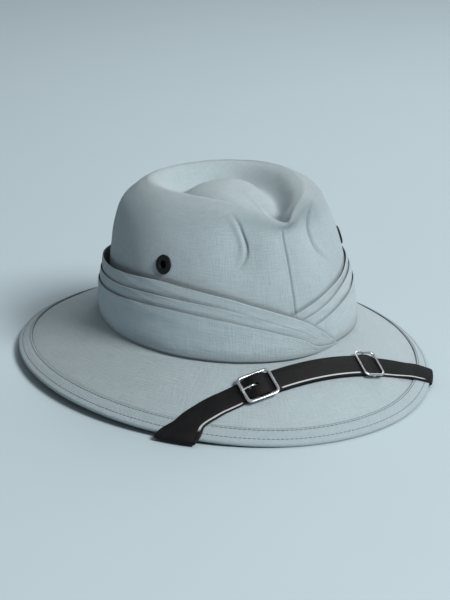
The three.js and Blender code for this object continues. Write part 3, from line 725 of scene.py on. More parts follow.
def enamel_material():
    """Black baked enamel on a pressed metal eyelet."""
    m = Nodes("black enamel")
    flow = m.noise(500, m.object_place(), 3.0)
    tint = colours().enamel
    return m.finish({
        "Base Color": m.mix(flow, shade(tint, 0.8), shade(tint, 1.8)),
        "Roughness": m.ramp(flow, 0.3, 0.7, 0.4, 0.55),
        "Normal": m.bump(flow, 0.00006),
        "Specular IOR Level": 0.25,
    })


def floor_material():
    """Plain pale floor with the faintest mottle."""
    m = Nodes("pale floor")
    mottle = m.noise(9, m.object_place(), 5.0)
    tint = colours().floor
    return m.finish({
        "Base Color": m.mix(mottle, shade(tint, 0.985), shade(tint, 1.015)),
        "Roughness": 0.9,
        "Specular IOR Level": 0.2,
    })


# ---- Stitches -----------------------------------------------------------------------------------------
STITCH_SIDES = 6
STITCH_RINGS = np.array([
    # place along the stitch as a share of its pitch, then width and lift as shares of the thread
    (-0.36, 0.75, 0.02), (0.0, 1.0, 0.22), (0.36, 0.75, 0.02),
])  # fmt: skip
STITCH_TIP, STITCH_DIP = 0.44, -0.15  # where its ends go into the cloth, in the same shares
STITCH_REACH = 0.3  # on each side of a stitch, from which its direction is taken


def one_stitch(pitch, thick):
    """A stitch along x, from one needle hole towards the next: a capsule of rings with a tip at each end."""
    around = circle(STITCH_SIDES)
    along, swell, lift = (STITCH_RINGS * (pitch, thick / 2, thick)).T[..., None]
    rings = stack(along, swell * np.cos(around), swell * np.sin(around) + lift)
    tips = np.array([(side * STITCH_TIP * pitch, 0, STITCH_DIP * thick) for side in (-1, 1)])
    points = np.concatenate([rings.reshape(-1, 3), tips])
    tip = len(rings) * STITCH_SIDES
    last = tip - STITCH_SIDES
    pairs = [(j, (j + 1) % STITCH_SIDES) for j in range(STITCH_SIDES)]
    faces = loop_faces(len(rings), STITCH_SIDES) + [[tip, n, j] for j, n in pairs]
    return points, faces + [[tip + 1, last + j, last + n] for j, n in pairs]


def stitch_piece(name, paths):
    """Stitches along paths. Each path is (points, normals) in millimetres, and each stitch is turned so that
    x runs along the path and z along its normal."""
    pitch = 1000 * sewing().stitch
    template, faces = one_stitch(pitch, 1000 * sewing().thread)
    points = []
    for line, normals in paths:
        length = running_length(line)
        places = np.arange(pitch / 2, length[-1], pitch)
        shifts = (0, STITCH_REACH, -STITCH_REACH)
        at, ahead, behind = (interpolate(places + shift, length, line) for shift in shifts)
        x = unit(ahead - behind)
        y = unit(np.cross(unit(interpolate(places, length, normals)), x))
        axes = np.stack([x, y, np.cross(x, y)], axis=1)
        points.append(at[:, None] + np.einsum("tk,nkc->ntc", template, axes))
    points = np.concatenate(points)
    firsts = range(0, points[..., 0].size, len(template))
    return build_mesh(name, points, [[first + i for i in face] for first in firsts for face in faces])


# ---- Crown --------------------------------------------------------------------------------------------
SEAM_DEGREE, FOLD_DEGREE = 1.55, 1.5  # millimetres for each degree at the seam and at the folds
SEAM_HALF, SEAM_DEEP, SEAM_PAINTED_SHADE = 0.8, 1.2, 0.4  # the crease's half width and depth, and its painted shade
LIP_AWAY, LIP_HALF, LIP_HIGH = 2.4, 1.2, 0.2  # the allowance that shows as a lip on each side of the seam
FOLD_SPREAD = 21.0  # degrees from the seam to each fold, at FOLD_HEIGHT
FOLD_HEIGHT, FOLD_LOW, FOLD_TOP, FOLD_CURVE = 75.0, 57.0, 101.0, 38.0
# The last value is the painted shade that darkens each fold's crease.
FOLD_HALF, FOLD_DEEP, CREASE_PAINTED_SHADE = 1.1, 2.2, 0.55
ROLL_AWAY, ROLL_HALF, ROLL_HIGH = 3.6, 2.6, 1.5  # the rolled cloth beside each fold
RIM_ROW, RIM_SOFT, RIM_RIDGE = 8.0, 0.32, 0.6  # the crest's place up the surface, its half width and height
CROWN_SPACING = ((0, 0.9, 0.15), (0.9, 2.7, 0.055), (2.7, 4.5, 0.15), (4.5, CROWN_ROWS - 0.1, 0.085))
LAST_ROW = CROWN_ROWS - 0.04
DENT_ROW = RIM_ROW + 0.3  # from here the cloth map is the plan of the top
DENT_EVEN_FROM, DENT_EVEN_TO = 8.6, 9.6  # where the dent's normals turn into the mean with their neighbours
INNER_RELIEF = 0.6  # the share of the relief that shows inside
WALL_MAP, BRIM_MAP, EDGE_MAP = 92.0, 125.0, 165.0  # radii at which the cloth maps are true


def crown_relief(u, v, points):
    """How far the cloth stands out from the plain surface, and how much painted shade it gets: the creased
    front seam, a curved fold in each pinch that opens away from the seam by (z - height)^2 / curve degrees, a
    tight crest round the top, soft ripples, and painted shade darkening the seam's and folds' creases and the
    cloth along the band's top edge."""
    turn = np.degrees(np.arctan2(np.sin(u), np.cos(u)))
    z = points[..., 2]
    seam = (turn - CROWN_SEAM) * SEAM_DEGREE
    sewn = smooth(z, 20, 30) * fall(z, 82, 90) * fall(v, 5.6, 6.6)  # the seam shows on the front of the wall
    crease = hump(seam, SEAM_HALF)
    relief = sewn * (-SEAM_DEEP * crease + LIP_HIGH * hump(np.abs(seam) - LIP_AWAY, LIP_HALF))
    # The seam's crease is darkened with painted shade.
    soil_and_painted_shade = SEAM_PAINTED_SHADE * sewn * crease
    for side in (-1, 1):
        bend = FOLD_SPREAD + (z - FOLD_HEIGHT) ** 2 / FOLD_CURVE
        away = (side * (turn - CROWN_SEAM) - bend) * FOLD_DEGREE
        span = np.clip((z - FOLD_LOW) / (FOLD_TOP - FOLD_LOW), 0, 1)
        taper = np.sin(math.pi * span) ** 0.8 * fall(v, 6.8, 7.3)
        crease = taper * hump(away, FOLD_HALF)
        relief += -FOLD_DEEP * crease + ROLL_HIGH * taper * hump(away - ROLL_AWAY, ROLL_HALF)
        # Each fold's crease is darkened with painted shade.
        soil_and_painted_shade = np.maximum(soil_and_painted_shade, CREASE_PAINTED_SHADE * crease)
    # Painted shade on the crown just above the band's top edge.
    soil_and_painted_shade = np.maximum(soil_and_painted_shade, band_edge_shade(z - band_edge(np.degrees(u))))
    relief += RIM_RIDGE * hump(v - RIM_ROW, RIM_SOFT)
    relief += 0.35 * ripple(points, 46, 11) + 0.12 * ripple(points, 17, 12)
    return relief, soil_and_painted_shade


def crown_rows():
    """Heights v of the grid's rows, closer together at the band's edge, over the shoulder and in the dent."""
    return np.concatenate([np.arange(*part) for part in CROWN_SPACING] + [[LAST_ROW]])


def crown_columns(count=264):
    """Places u of the grid's columns, closer together at the seam and the folds: evenly spaced in the running
    total of 1 + 6 exp(-(t / 3)^2) + 2.5 exp(-((|t| - 22) / 8)^2), where t is degrees from the seam."""
    fine = np.linspace(-math.pi, math.pi, 4001)
    turn = np.degrees(fine) - CROWN_SEAM
    density = 1 + 6 * hump(turn, 3) + 2.5 * hump(np.abs(turn) - 22, 8)
    total = np.cumsum(density) - density[0]
    return np.interp(np.arange(count) / count * total[-1], total, fine)


def crown_skins():
    """The outer and inner skins as grids of rows up the crown, and the painted shade on them."""
    grid_v, grid_u = np.meshgrid(crown_rows(), crown_columns(), indexing="ij")
    plain = crown_at(grid_u, grid_v)
    normal = crown_normal(grid_u, grid_v)
    relief, soil_and_painted_shade = crown_relief(grid_u, grid_v, plain)
    relief = relief[..., None]
    even = unit(sum(np.roll(normal, k, axis=1) for k in range(-4, 5)))
    normal = unit(lerp(normal, even, smooth(grid_v, DENT_EVEN_FROM, DENT_EVEN_TO)[..., None]))
    outer = plain + normal * relief
    inner = plain + normal * (relief * INNER_RELIEF - CROWN_WALL)
    inner[0, :, 2] = outer[0, :, 2] = GAP
    return grid_u, outer, inner, soil_and_painted_shade


def eyelet_axes(side):
    """Where an eyelet sits on the crown, and its axes with the third one outwards."""
    u = np.array([math.radians(CROWN_SEAM + side * EYELET_APART)])
    v = wall_v(u, EYELET_HEIGHT)
    at, out = crown_at(u, v)[0], crown_normal(u, v)[0]
    across = unit(np.cross((0, 0, 1), out))
    return at, np.array([across, np.cross(out, across), out])


def disc_cutter(at, axes, radius, half):
    """A cylinder along the third axis, to cut a hole with."""
    x, y = radius * np.cos(circle(32)), radius * np.sin(circle(32))
    return cutter([stack(x, y, h) @ axes + at for h in (-half, half)])


def crown_map(grid_u, outer, points, faces):
    """The crown's cloth map: round the wall and up it, and the plan of the top for the faces of the dent."""
    height = np.broadcast_to(running_length(outer[:, 0])[:, None], grid_u.shape)
    wall = np.stack([grid_u * WALL_MAP, height], axis=-1)
    wall = np.concatenate([wall[::-1].reshape(-1, 2), wall.reshape(-1, 2), np.zeros((2, 2))])
    row = np.broadcast_to(crown_rows()[:, None], grid_u.shape)
    row = np.concatenate([row[::-1].ravel(), row.ravel(), [CROWN_ROWS, CROWN_ROWS]])
    corners, sizes, starts = face_corners(faces)
    lowest = np.minimum.reduceat(row[corners], starts)
    in_dent = np.repeat(lowest > DENT_ROW, sizes)[:, None]
    return np.where(in_dent, points[corners][:, :2], corner_map(wall, faces, TURN * WALL_MAP))


def make_crown():
    """Closed cloth shell: up the outside to the middle of the top, and back down the inside."""
    grid_u, outer, inner, soil_and_painted_shade = crown_skins()
    rows, columns = outer.shape[:2]
    loops = np.concatenate([inner[::-1], outer])
    middles = [inner[-1].mean(axis=0), outer[-1].mean(axis=0)]
    points = np.concatenate([loops.reshape(-1, 3), middles])
    faces = loop_faces(2 * rows, columns)
    last, top_in = (2 * rows - 1) * columns, 2 * rows * columns
    for j in range(columns):
        n = (j + 1) % columns
        faces += [[n, j, top_in], [last + j, last + n, top_in + 1]]
    # The outer skin's painted shade, kept as a point mark; the inner skin has none.
    marks = {"soil_and_painted_shade": np.concatenate([np.zeros(soil_and_painted_shade.size), soil_and_painted_shade.ravel(), [0, 0]])}
    piece = build_mesh("crown_cloth", points, faces, crown_map(grid_u, outer, points, faces), marks)
    cut_holes(piece, [disc_cutter(*eyelet_axes(side), EYELET_BARREL + 0.2, 6) for side in (-1, 1)])
    return piece


# ---- Brim and binding -----------------------------------------------------------------------------------
TAPE_SHARES = np.array([0, 0.035, 0.07, 0.14, 0.25, 0.4, 0.6, 0.75, 0.88])  # across the tape, from its hem
HEM_STITCHES, EDGE_STITCHES = 0.14, 0.75  # where it is sewn, as such shares
PUCKER, HEM_THIN, SEWN_IN = 0.1, 0.35, 0.22  # the puckers' height, the hem's thinning, and the sewn rows' dip
FLOOR_GAP = 0.02  # under the lowest cloth


def brim_sag(f, points):
    """Slight waves of worn cloth, fading to none at the crown and at the bound edge."""
    free = smooth(f, 0.05, 0.3) * fall(f, 0.7, 0.9)
    return free * (0.45 * ripple(points, 70, 21) + 0.12 * ripple(points, 19, 22))


def make_brim(columns=300):
    """Closed ring: the collar inside the crown, the top of the brim out to its edge, and back underneath."""
    u = circle(columns)
    half = BRIM_THICK / 2
    collar_out = -CROWN_WALL - GAP
    collar_in = collar_out - COLLAR_CLOTH

    def foot_ring(out, z):
        return stack((BASE_WIDE + out) * np.sin(u), -(BASE_LONG + out) * np.cos(u), z)

    grid_f, grid_u = np.meshgrid(np.linspace(0.03, 1, 44), u, indexing="ij")
    sag = brim_sag(grid_f, brim_middle(grid_u, grid_f))
    over, under = (brim_point(grid_u, grid_f, side * half + sag) for side in (1, -1))
    rows = [wall_point(u, COLLAR_HEIGHT, collar_out), foot_ring(collar_out, 0), foot_ring(GAP, 0)]
    rows += [*over, *under[::-1], foot_ring(-1, -2 * SINK), foot_ring(collar_in, -SINK)]
    grid = np.array(rows + [wall_point(u, COLLAR_HEIGHT, collar_in)])
    return ring_piece("brim_cloth", grid, u, BRIM_MAP)


def binding_section(u):
    """The folded tape's section at each u: over the top, half a circle round the edge and back underneath,
    with small puckers where it is sewn, then the same way back inside."""
    down, _, level, slant = brim_frame(u, 1.0)
    edge = brim_middle(u, 1.0)
    tilt = np.arctan2(-down[:, 2], np.hypot(down[:, 0], down[:, 1]))
    puckers = ripple(edge, 11, 31)

    def flat(side, radius, shares):
        rows = []
        for share in shares:
            sewn = hump(share - HEM_STITCHES, 0.07) + 0.6 * hump(share - EDGE_STITCHES, 0.1)
            thinner = SEWN_IN * sewn + HEM_THIN * hump(share, 0.05)
            off = side * (radius - thinner + PUCKER * puckers * (1 - share))
            rows.append(brim_point(u, 1 - BINDING_WIDTH / slant * (1 - share), off))
        return rows

    def fold(radius, turns):
        angles = [math.pi / 2 - tilt - turn for turn in turns]
        sweeps = [level * np.cos(a)[:, None] + (0, 0, 1) * np.sin(a)[:, None] for a in angles]
        return [edge + radius * sweep for sweep in sweeps]

    turns = np.linspace(0, math.pi, 13)
    outside = flat(1, RIM, TAPE_SHARES) + fold(RIM, turns) + flat(-1, RIM, TAPE_SHARES[::-1])
    inner = RIM - BINDING_CLOTH
    inside = flat(-1, inner, TAPE_SHARES[::2]) + fold(inner, turns[::-2]) + flat(1, inner, TAPE_SHARES[::-2])
    # Painted shade: a dark line at the tape's hem, where it meets the brim, and the hidden inside all dark.
    hem = hump(TAPE_SHARES, 0.04)
    soil_and_painted_shade = np.concatenate([hem, np.zeros(len(turns)), hem[::-1], np.ones(len(inside))])
    return np.array(outside + inside), soil_and_painted_shade


def make_binding(columns=520):
    """Bias tape folded round the brim's edge."""
    u = circle(columns)
    grid, soil_and_painted_shade = binding_section(u)
    grid[..., 2] = np.maximum(grid[..., 2], FLOOR_GAP - CROWN_FOOT)
    bias = np.array([[1, 1], [-1, 1]]) / math.sqrt(2)
    # The tape's painted shade, kept as a point mark.
    marks = {"soil_and_painted_shade": np.broadcast_to(soil_and_painted_shade[:, None], grid.shape[:2])}
    return ring_piece("binding_tape", grid, u, EDGE_MAP, marks, bias)


def make_binding_stitches():
    """Two rows of stitches on top of the tape, and one underneath."""
    u = np.linspace(0, TURN, 721)
    slant = brim_frame(u, 1.0)[3]
    paths = []
    for share, side in ((HEM_STITCHES, 1), (EDGE_STITCHES, 1), (HEM_STITCHES, -1)):
        f = 1 - BINDING_WIDTH * (1 - share) / slant
        normal = side * brim_frame(u, f)[1]
        paths.append((brim_middle(u, f) + normal * (RIM - THREAD_SUNK), normal))
    return stitch_piece("binding_stitches", paths)


# ---- Sweatband ----------------------------------------------------------------------------------------
SWEATBAND_OUTSIDE = CROWN_WALL + GAP + COLLAR_CLOTH + GAP  # from the crown's outer surface inwards
SWEATBAND_INSIDE = SWEATBAND_OUTSIDE + SWEATBAND_CLOTH
SWEATBAND_FOOT = 1.0
SWEATBAND_ROWS = (SWEATBAND_HEIGHT - 2.2, 3.5)  # heights of the stitches


def make_sweatband(columns=260):
    """Ribbed tape round the inside of the head opening, with soft edges and slight waves on its inside."""
    u = circle(columns)
    top, near, far = SWEATBAND_HEIGHT, SWEATBAND_OUTSIDE, SWEATBAND_INSIDE
    section = [
        (SWEATBAND_FOOT, near), (10, near), (20, near), (top - 0.3, near), (top, near + 0.3),
        (top, far - 0.3), (top - 0.4, far), (SWEATBAND_ROWS[0], far - 0.2),
        (20, far), (10, far), (3, far), (SWEATBAND_FOOT, far - 0.2),
    ]  # fmt: skip
    wave = np.abs(0.2 * ripple(stack(90 * np.sin(u), 90 * np.cos(u), 0), 60, 41))
    middle = (near + far) / 2
    grid = np.array([wall_point(u, z, -depth - (wave if depth > middle else 0)) for z, depth in section])
    return ring_piece("sweatband_tape", grid, u, WALL_MAP)


def make_sweatband_stitches():
    """A row of stitches below the tape's top edge and one above its foot."""
    u = np.linspace(0, TURN, 361)
    paths = []
    for z in SWEATBAND_ROWS:
        v = wall_v(u, z)
        inward = -crown_normal(u, v)
        paths.append((crown_at(u, v) + inward * (SWEATBAND_INSIDE - 0.05), inward))
    return stitch_piece("sweatband_stitches", paths)


# ---- Puggaree -----------------------------------------------------------------------------------------
PLEATS = np.array([
    # degrees from the front, then the heights of the top, upper and lower folds
    (-125, 18, 11, 6), (-30, 17, 10, 5), (-8, 26.4, 19.3, 11.5), (4, 32.3, 25, 16.4), (16, 37.4, 30.6, 21.8),
    (30, 42.3, 36.8, 27), (45, 47, 41, 31.5), (62, 47.5, 40.5, 30.5), (100, 43, 33.5, 23.5),
    (150, 37.5, 27.5, 18.5), (205, 36.5, 27, 18), (253, 41.2, 32.5, 24.2), (288, 47.6, 37.3, 29.3),
    (304, 46.6, 37.6, 29.6), (322, 42.5, 34.5, 26.2), (334, 37, 29, 22), (345, 31, 22.5, 16.5),
    (356.6, 22.8, 14, 8.8), (363, 16.6, 7.6, 2.4), (374, 3.4, 0.6, -0.6), (378, -1.6, -2.0, -2.4),
])  # fmt: skip
STAND_LOWER, STAND_MIDDLE, STAND_UPPER = 4.4, 2.9, 1.5  # how far each pleat stands out
TUCKED_STAND, TUCKED_FROM, TUCKED_TO = 0.68, 18, 40  # its share where the band lies under its own end
TAPER_STAND, TAPER_FROM, TAPER_TO = 0.14, 345, 378  # and its share at the end's tip
LAP_FROM, LAP_TO = 205, 232  # degrees over which the band climbs onto its start
UPPER_FADE_FROM, UPPER_FADE_TO = 304.0, 332.0  # where the upper fold flattens out
TUCK_DEEP, BELLY = 3.2, 0.6  # how far a fold turns down inside, and how much a pleat swells
LEAST_PLEAT, LEAST_AT_TIP = 0.6, 0.2
BAND_DEGREE = 1.65  # millimetres of band for each degree
SECTION_SAMPLES = 4  # points of the section for each control point
PLEAT_PAINTED_SHADE = 0.45  # how dark the painted shade along the edges of the folds is
EDGE_PAINTED_SHADE, EDGE_SHADE_FOOT, EDGE_SHADE_TOP = 0.5, 0.8, 3.8  # the painted shade above the top edge, and where it fades


def pleat_heights(angle):
    """The folds' heights at each angle, by cubics between the rows whose slopes follow their neighbours."""
    i = np.clip(np.searchsorted(PLEATS[:, 0], angle, side="right") - 1, 0, len(PLEATS) - 2)
    before, start = PLEATS[np.maximum(i - 1, 0)], PLEATS[i]
    end, after = PLEATS[i + 1], PLEATS[np.minimum(i + 2, len(PLEATS) - 1)]
    span = (end - start)[:, :1]
    t = (angle[:, None] - start[:, :1]) / span
    leaving = (end - before) / (end - before)[:, :1] * span
    arriving = (after - start) / (after - start)[:, :1] * span
    value = (2 * t**3 - 3 * t**2 + 1) * start + (t**3 - 2 * t**2 + t) * leaving
    value += (3 * t**2 - 2 * t**3) * end + (t**3 - t**2) * arriving
    return value[:, 3], value[:, 2], value[:, 1]


def wandering_folds(angle):
    """The folds' heights with the slight waves of soft cloth."""
    lower, upper, top = pleat_heights(angle)
    wander = 0.5 * ripple(stack(angle, 0, 0), 38, 51) * np.clip((top - upper) / 5, 0, 1)
    return lower + wander * 0.6, upper + wander, top - wander * 0.5


def band_edge(turn):
    """The height of the band's top edge at degrees round from the front: the higher of its windings."""
    turn = (np.asarray(turn) + 180) % 360 - 180
    height = np.full(turn.shape, -np.inf)
    for winding in (turn, turn + 360):
        reached = (winding >= BAND_START) & (winding <= BAND_END)
        top = wandering_folds(np.clip(winding, BAND_START, BAND_END).ravel())[2].reshape(turn.shape)
        height = np.maximum(height, np.where(reached, top, -np.inf))
    return height


def band_edge_shade(above):
    """Painted shade along the band's top edge, at a height above it."""
    return EDGE_PAINTED_SHADE * fall(above, EDGE_SHADE_FOOT, EDGE_SHADE_TOP)


def band_section(lower, upper, top, foot, share, folded):
    """Control points of the folded band as heights, stand-outs and painted-shade marks: from the outer foot
    over each pleat, down behind its fold and up again over the next one, to the top and down the back. Tucks
    shrink where the pleats draw together, the upper one opens out flat as folded falls to 0, and all of it
    stands out by a share. The marks put painted shade at the foot, along each fold's edge, in the tucks and
    on the back."""

    def pleat(base, fold, stand, behind, below=1.0, shown=1.0, room=0.0):
        """below and shown are how far the folds at its base and its top are folded, from 0 to 1, and room is
        the height over which an open fold spreads."""
        rise = fold - base
        turn = np.minimum(1.0, 0.3 * rise)
        tuck = np.minimum(TUCK_DEEP, 0.45 * rise)
        belly = BELLY * np.clip(rise / 12, 0, 1) * below * shown
        # The third value is painted shade: at the base under the fold above, along the fold's edge and in the
        # tuck.
        return [
            (base + 0.1 * rise, stand + 0.4 * belly, 0.35 * below),
            (base + 0.35 * rise, stand + belly, 0),
            (base + 0.7 * rise, stand + 0.5 * belly, 0),
            (fold - 1.2 * turn, stand + 0.1 * shown, 0),
            (fold - 0.3 * turn, stand, 0),
            (fold, stand - 0.35 * shown, PLEAT_PAINTED_SHADE * shown),
            (fold + lerp(0.02 * room, -0.4 * turn, shown), stand - 0.7 * shown, shown),
            (fold + lerp(0.04 * room, -1.3 * turn, shown), stand - 0.75 * shown, shown),
            (fold + lerp(0.06 * room, -tuck, shown), behind + 0.35 * shown, shown),
        ]

    last = lerp(STAND_MIDDLE, STAND_UPPER, folded)
    rows = [(foot, STAND_LOWER, 1)]
    rows += pleat(foot, lower, STAND_LOWER, STAND_MIDDLE)
    rows += pleat(lower, upper, STAND_MIDDLE, last, shown=folded, room=top - upper)
    rows += pleat(upper, top, last, 0.0, below=folded)
    rows += [(lerp(foot, top, 0.5), 0.1, 1), (foot, 0.1, 1)]
    heights, stands, soil_and_painted_shade = (np.array([np.broadcast_to(x, foot.shape) for x in part]) for part in zip(*rows))
    return heights, stands * share, soil_and_painted_shade


def make_band(steps=560):
    """The pleated strip, wound from under its own end once round and down over its start."""
    angle = np.linspace(BAND_START, BAND_END, steps)
    u = np.radians(angle)
    lift = GAP + 0.1 + BAND_OVERLAP * smooth(angle, LAP_FROM, LAP_TO)
    lower, upper, top = wandering_folds(angle)
    base = wall_point(u, GAP, lift + STAND_LOWER / 2)
    foot = brim_point(*brim_place(base[:, 0], base[:, 1]), BRIM_THICK / 2)[:, 2] + GAP
    least = lerp(LEAST_PLEAT, LEAST_AT_TIP, smooth(angle, 360, BAND_END))
    lower = np.maximum(lower, foot + 2 * least)
    upper = np.maximum(upper, lower + least)
    top = np.maximum(top, upper + least)
    share = lerp(TUCKED_STAND, 1, smooth(angle, TUCKED_FROM, TUCKED_TO))
    share = share * lerp(1, TAPER_STAND, smooth(angle, TAPER_FROM, TAPER_TO))
    folded = 1 - smooth(angle, UPPER_FADE_FROM, UPPER_FADE_TO)
    heights, stands, soil_and_painted_shade = band_section(lower, upper, top, foot, share, folded)
    controls = wall_point(u, np.maximum(heights, GAP), lift + stands)
    controls[..., 2] += np.minimum(heights - GAP, 0)
    section = curve(controls, SECTION_SAMPLES, closed=True)
    end_top = wandering_folds(np.minimum(angle + 360, BAND_END))[2]
    # Painted shade on the band where its own end lies over it, up to a little above the end's top edge.
    shade_under_end = band_edge_shade(section[..., 2] - end_top) * fall(angle, 16, 18)
    soil_and_painted_shade = np.maximum(curve(soil_and_painted_shade, SECTION_SAMPLES, closed=True), shade_under_end)
    return angle, section, np.clip(soil_and_painted_shade, 0, 1)


def make_puggaree():
    """The band's cloth, with long shallow wrinkles along its pleats where they face outwards."""
    angle, section, soil_and_painted_shade = make_band()
    rows = np.swapaxes(section, 0, 1)
    steps, count = rows.shape[:2]
    normal = grid_normals(rows)
    outward = stack(np.sin(np.radians(angle)), -np.cos(np.radians(angle)), 0)[:, None]
    facing = (normal * outward).sum(axis=-1)
    sign = np.sign(facing[:, SECTION_SAMPLES, None])  # the first pleat's outside
    normal, facing = normal * sign[..., None], facing * sign
    around = np.broadcast_to(angle[:, None] * BAND_DEGREE, (steps, count))
    wrinkle = ripple(stack(around, rows[..., 2] * 5.5 + around * 0.35, 0), 42, 52)
    fine = ripple(stack(around, rows[..., 2] * 3.0 - around * 0.2, 0), 15, 53)
    shown = smooth(facing, 0.25, 0.7)
    rows = rows + normal * (shown * (0.26 * wrinkle + 0.1 * fine))[..., None]
    uv = np.stack([around, np.broadcast_to(running_length(rows[steps // 2]), (steps, count))], axis=-1)
    return build_mesh("puggaree_cloth", rows, capped_faces(steps, count), uv, {"soil_and_painted_shade": soil_and_painted_shade.T})


# ---- Chin strap -----------------------------------------------------------------------------------------
PALE_LINE, PALE_HALF = 1.55, 0.5  # from the strap's outer edge to the middle of the pale line of painted highlight, its half width
STRAIGHT_LEFT, STRAIGHT_RIGHT = -69.0, 80.0  # where each strap's rows stop being square to it
TURN_LEAD, END_REACH = 16.0, 50.0  # the fine rows beside the turn round the edge, and the end below it
TAIL_REACH = 8.8  # from the slide's middle to the upper strap's free end, under the slide's frame
PARED = 0.5  # half the thickness of the lower strap's end
CURL_FROM, CURL_TO = 235, -72  # degrees round the bar from the pared end's tip to where it leaves the bar
PRONG_HOLE, PRONG_SLOT = (7.6, 2.8), (7, 3.2)  # in the upper strap and in the lower one's turn: long, wide
END_ROWS = (44, 39)  # where the rows of stitches lie on the sewn ends, past the turn
THREAD_SUNK = 0.12  # how far the thread's middle lies in a tape, or over leather


def strap_section():
    """The strap's section as across, off and highlight mark: a flat back, rounded sides, a top that is a
    little domed, and a shallow crease along each edge, of which the outer one carries the pale line of
    painted highlight."""
    w, h = STRAP_WIDTH / 2, STRAP_THICK / 2
    line = w - PALE_LINE
    right = [
        (0.0, -h, 0), (w / 2, -h, 0), (w - 0.3, -h, 0), (w, -h + 0.3, 0), (w, h - 0.45, 0),
        (w - 0.35, h - 0.1, 0), (line + PALE_HALF + 0.12, h + 0.02, 0), (line + PALE_HALF, h, 1),
        (line, h - 0.12, 1), (line - PALE_HALF, h + 0.02, 1), (line - PALE_HALF - 0.12, h + 0.06, 0),
        (w - 4.5, h + 0.12, 0), (w - 7, h + 0.16, 0), (0.0, h + 0.18, 0),
    ]  # fmt: skip
    left = [(-across, off, 0) for across, off, _ in right[-2:0:-1]]
    return np.array(right + left).T


def wear_and_painted_highlight(s, w, mark):
    """The strength of the pale line's mark, a painted highlight: none past the brim's edge, or near the
    buckle and the slide.
    """
    edge = smooth(-past_edge(s, w)[1], 1.0, 7.0)
    buckle = smooth(np.abs(s - BUCKLE_AT) - BUCKLE_ALONG / 2, 1.0, 3.0)
    slide = smooth(np.abs(s - SLIDE_AT) - SLIDE_ALONG / 2, 0.8, 2.0)
    return mark * edge * buckle * slide


def strap_rows(line):
    """Loops of the strap along (s, n, half) places: the section is square to the line, with its thickness
    scaled to half."""
    line = np.asarray(line, float)
    way = unit(np.gradient(line[:, :2], axis=0))
    w, n, mark = strap_section()
    m = n * (line[:, 2:] / (STRAP_THICK / 2))
    s = line[:, :1] - way[:, 1:] * m
    off = line[:, 1:2] + way[:, :1] * m
    return strap_point(s, w, off), wear_and_painted_highlight(s, w, mark)


def end_width(past, side):
    """How much wider than the strap its end is: the buckled one flares towards the brim's edge."""
    if side > 0:
        return np.ones(np.shape(past))
    return lerp(TAB_FLARE, TAB_WIDE, smooth(past, TAB_FROM, TAB_TO))


def turned_rows(side, start):
    """Loops of the strap's end, from straight across at s = start, through the turn round the brim's edge to
    the sewn end below."""
    w, n, mark = strap_section()
    fine = np.arange(-TURN_LEAD, FOLD_LENGTH + TURN_LEAD, 0.9)
    past = np.concatenate([fine, np.arange(FOLD_LENGTH + TURN_LEAD + 1, FOLD_LENGTH + END_REACH + 0.5, 3)])
    wide = w * end_width(past, side)[:, None]
    s = along_for(side, past[:, None], wide)
    blend = np.linspace(0, 1, 9)[1:-1, None]
    s = np.concatenate([lerp(start, s[:1], blend), s])
    wide = np.concatenate([lerp(w, wide[:1], blend), wide])
    return strap_point(s, wide, LOW + n), wear_and_painted_highlight(s, wide, mark)


def strap_piece(name, parts):
    """One strap from runs of loops, with its pale line of painted highlight marked."""
    rows = np.concatenate([part[0] for part in parts])
    marks = np.concatenate([part[1] for part in parts])
    return build_mesh(name, rows, capped_faces(*rows.shape[:2]), marks={"wear_and_painted_highlight": marks})


def over_bar(at, climb, top):
    """Places along and off the strap that climb over a bar and down again, the same on both sides."""
    return [(at - s, off) for s, off in climb] + [(at, top)] + [(at + s, off) for s, off in climb[::-1]]


def tongue_line():
    """Where the upper strap runs: along the brim, up under the buckle, over its bar, through the slide."""
    over = BAR_HEIGHT + SLEEVE + PARED + GAP + STRAP_THICK / 2
    line = [(STRAIGHT_LEFT, LOW), (STRAIGHT_LEFT + 5, LOW)]
    line += [(BUCKLE_AT - 17, LOW + 0.3), (BUCKLE_AT - 13, HIGH - 0.4)]
    line += over_bar(BUCKLE_AT, [(9.5, HIGH + 0.1), (6, over - 1.6), (3, over - 0.2)], over)
    line += [(s, HIGH) for s in (BUCKLE_AT + 14, -18, 0, 18, 32, SLIDE_AT - 12)]
    line += over_bar(SLIDE_AT, [(6.5, HIGH), (2.4, HIGH + 1.2)], HIGH + 1.4)
    return [(s, off, STRAP_THICK / 2) for s, off in line + [(SLIDE_AT + TAIL_REACH, HIGH)]]


def slot_cutter(s, long, wide):
    """A round-ended upright slot through the strap."""
    cos, sin = np.cos(circle(24)), np.sin(circle(24))
    reach = (long - wide) / 2
    x = wide / 2 * cos + np.where(cos > 0, reach, -reach)
    return cutter([place_on_strap(stack(x, wide / 2 * sin, h), s) for h in (-2, 14)])


def make_strap_left():
    """The upper strap: sewn under the brim, round its edge, over the buckle's bar and through the slide, to
    its free end under the slide's frame."""
    ends, marks = turned_rows(-1, STRAIGHT_LEFT)
    line = curve(tongue_line(), 5)
    piece = strap_piece("strap_upper_leather", [(ends[::-1], marks[::-1]), strap_rows(line)])
    cut_holes(piece, [slot_cutter(BUCKLE_AT - 3.6, *PRONG_HOLE)])
    return piece


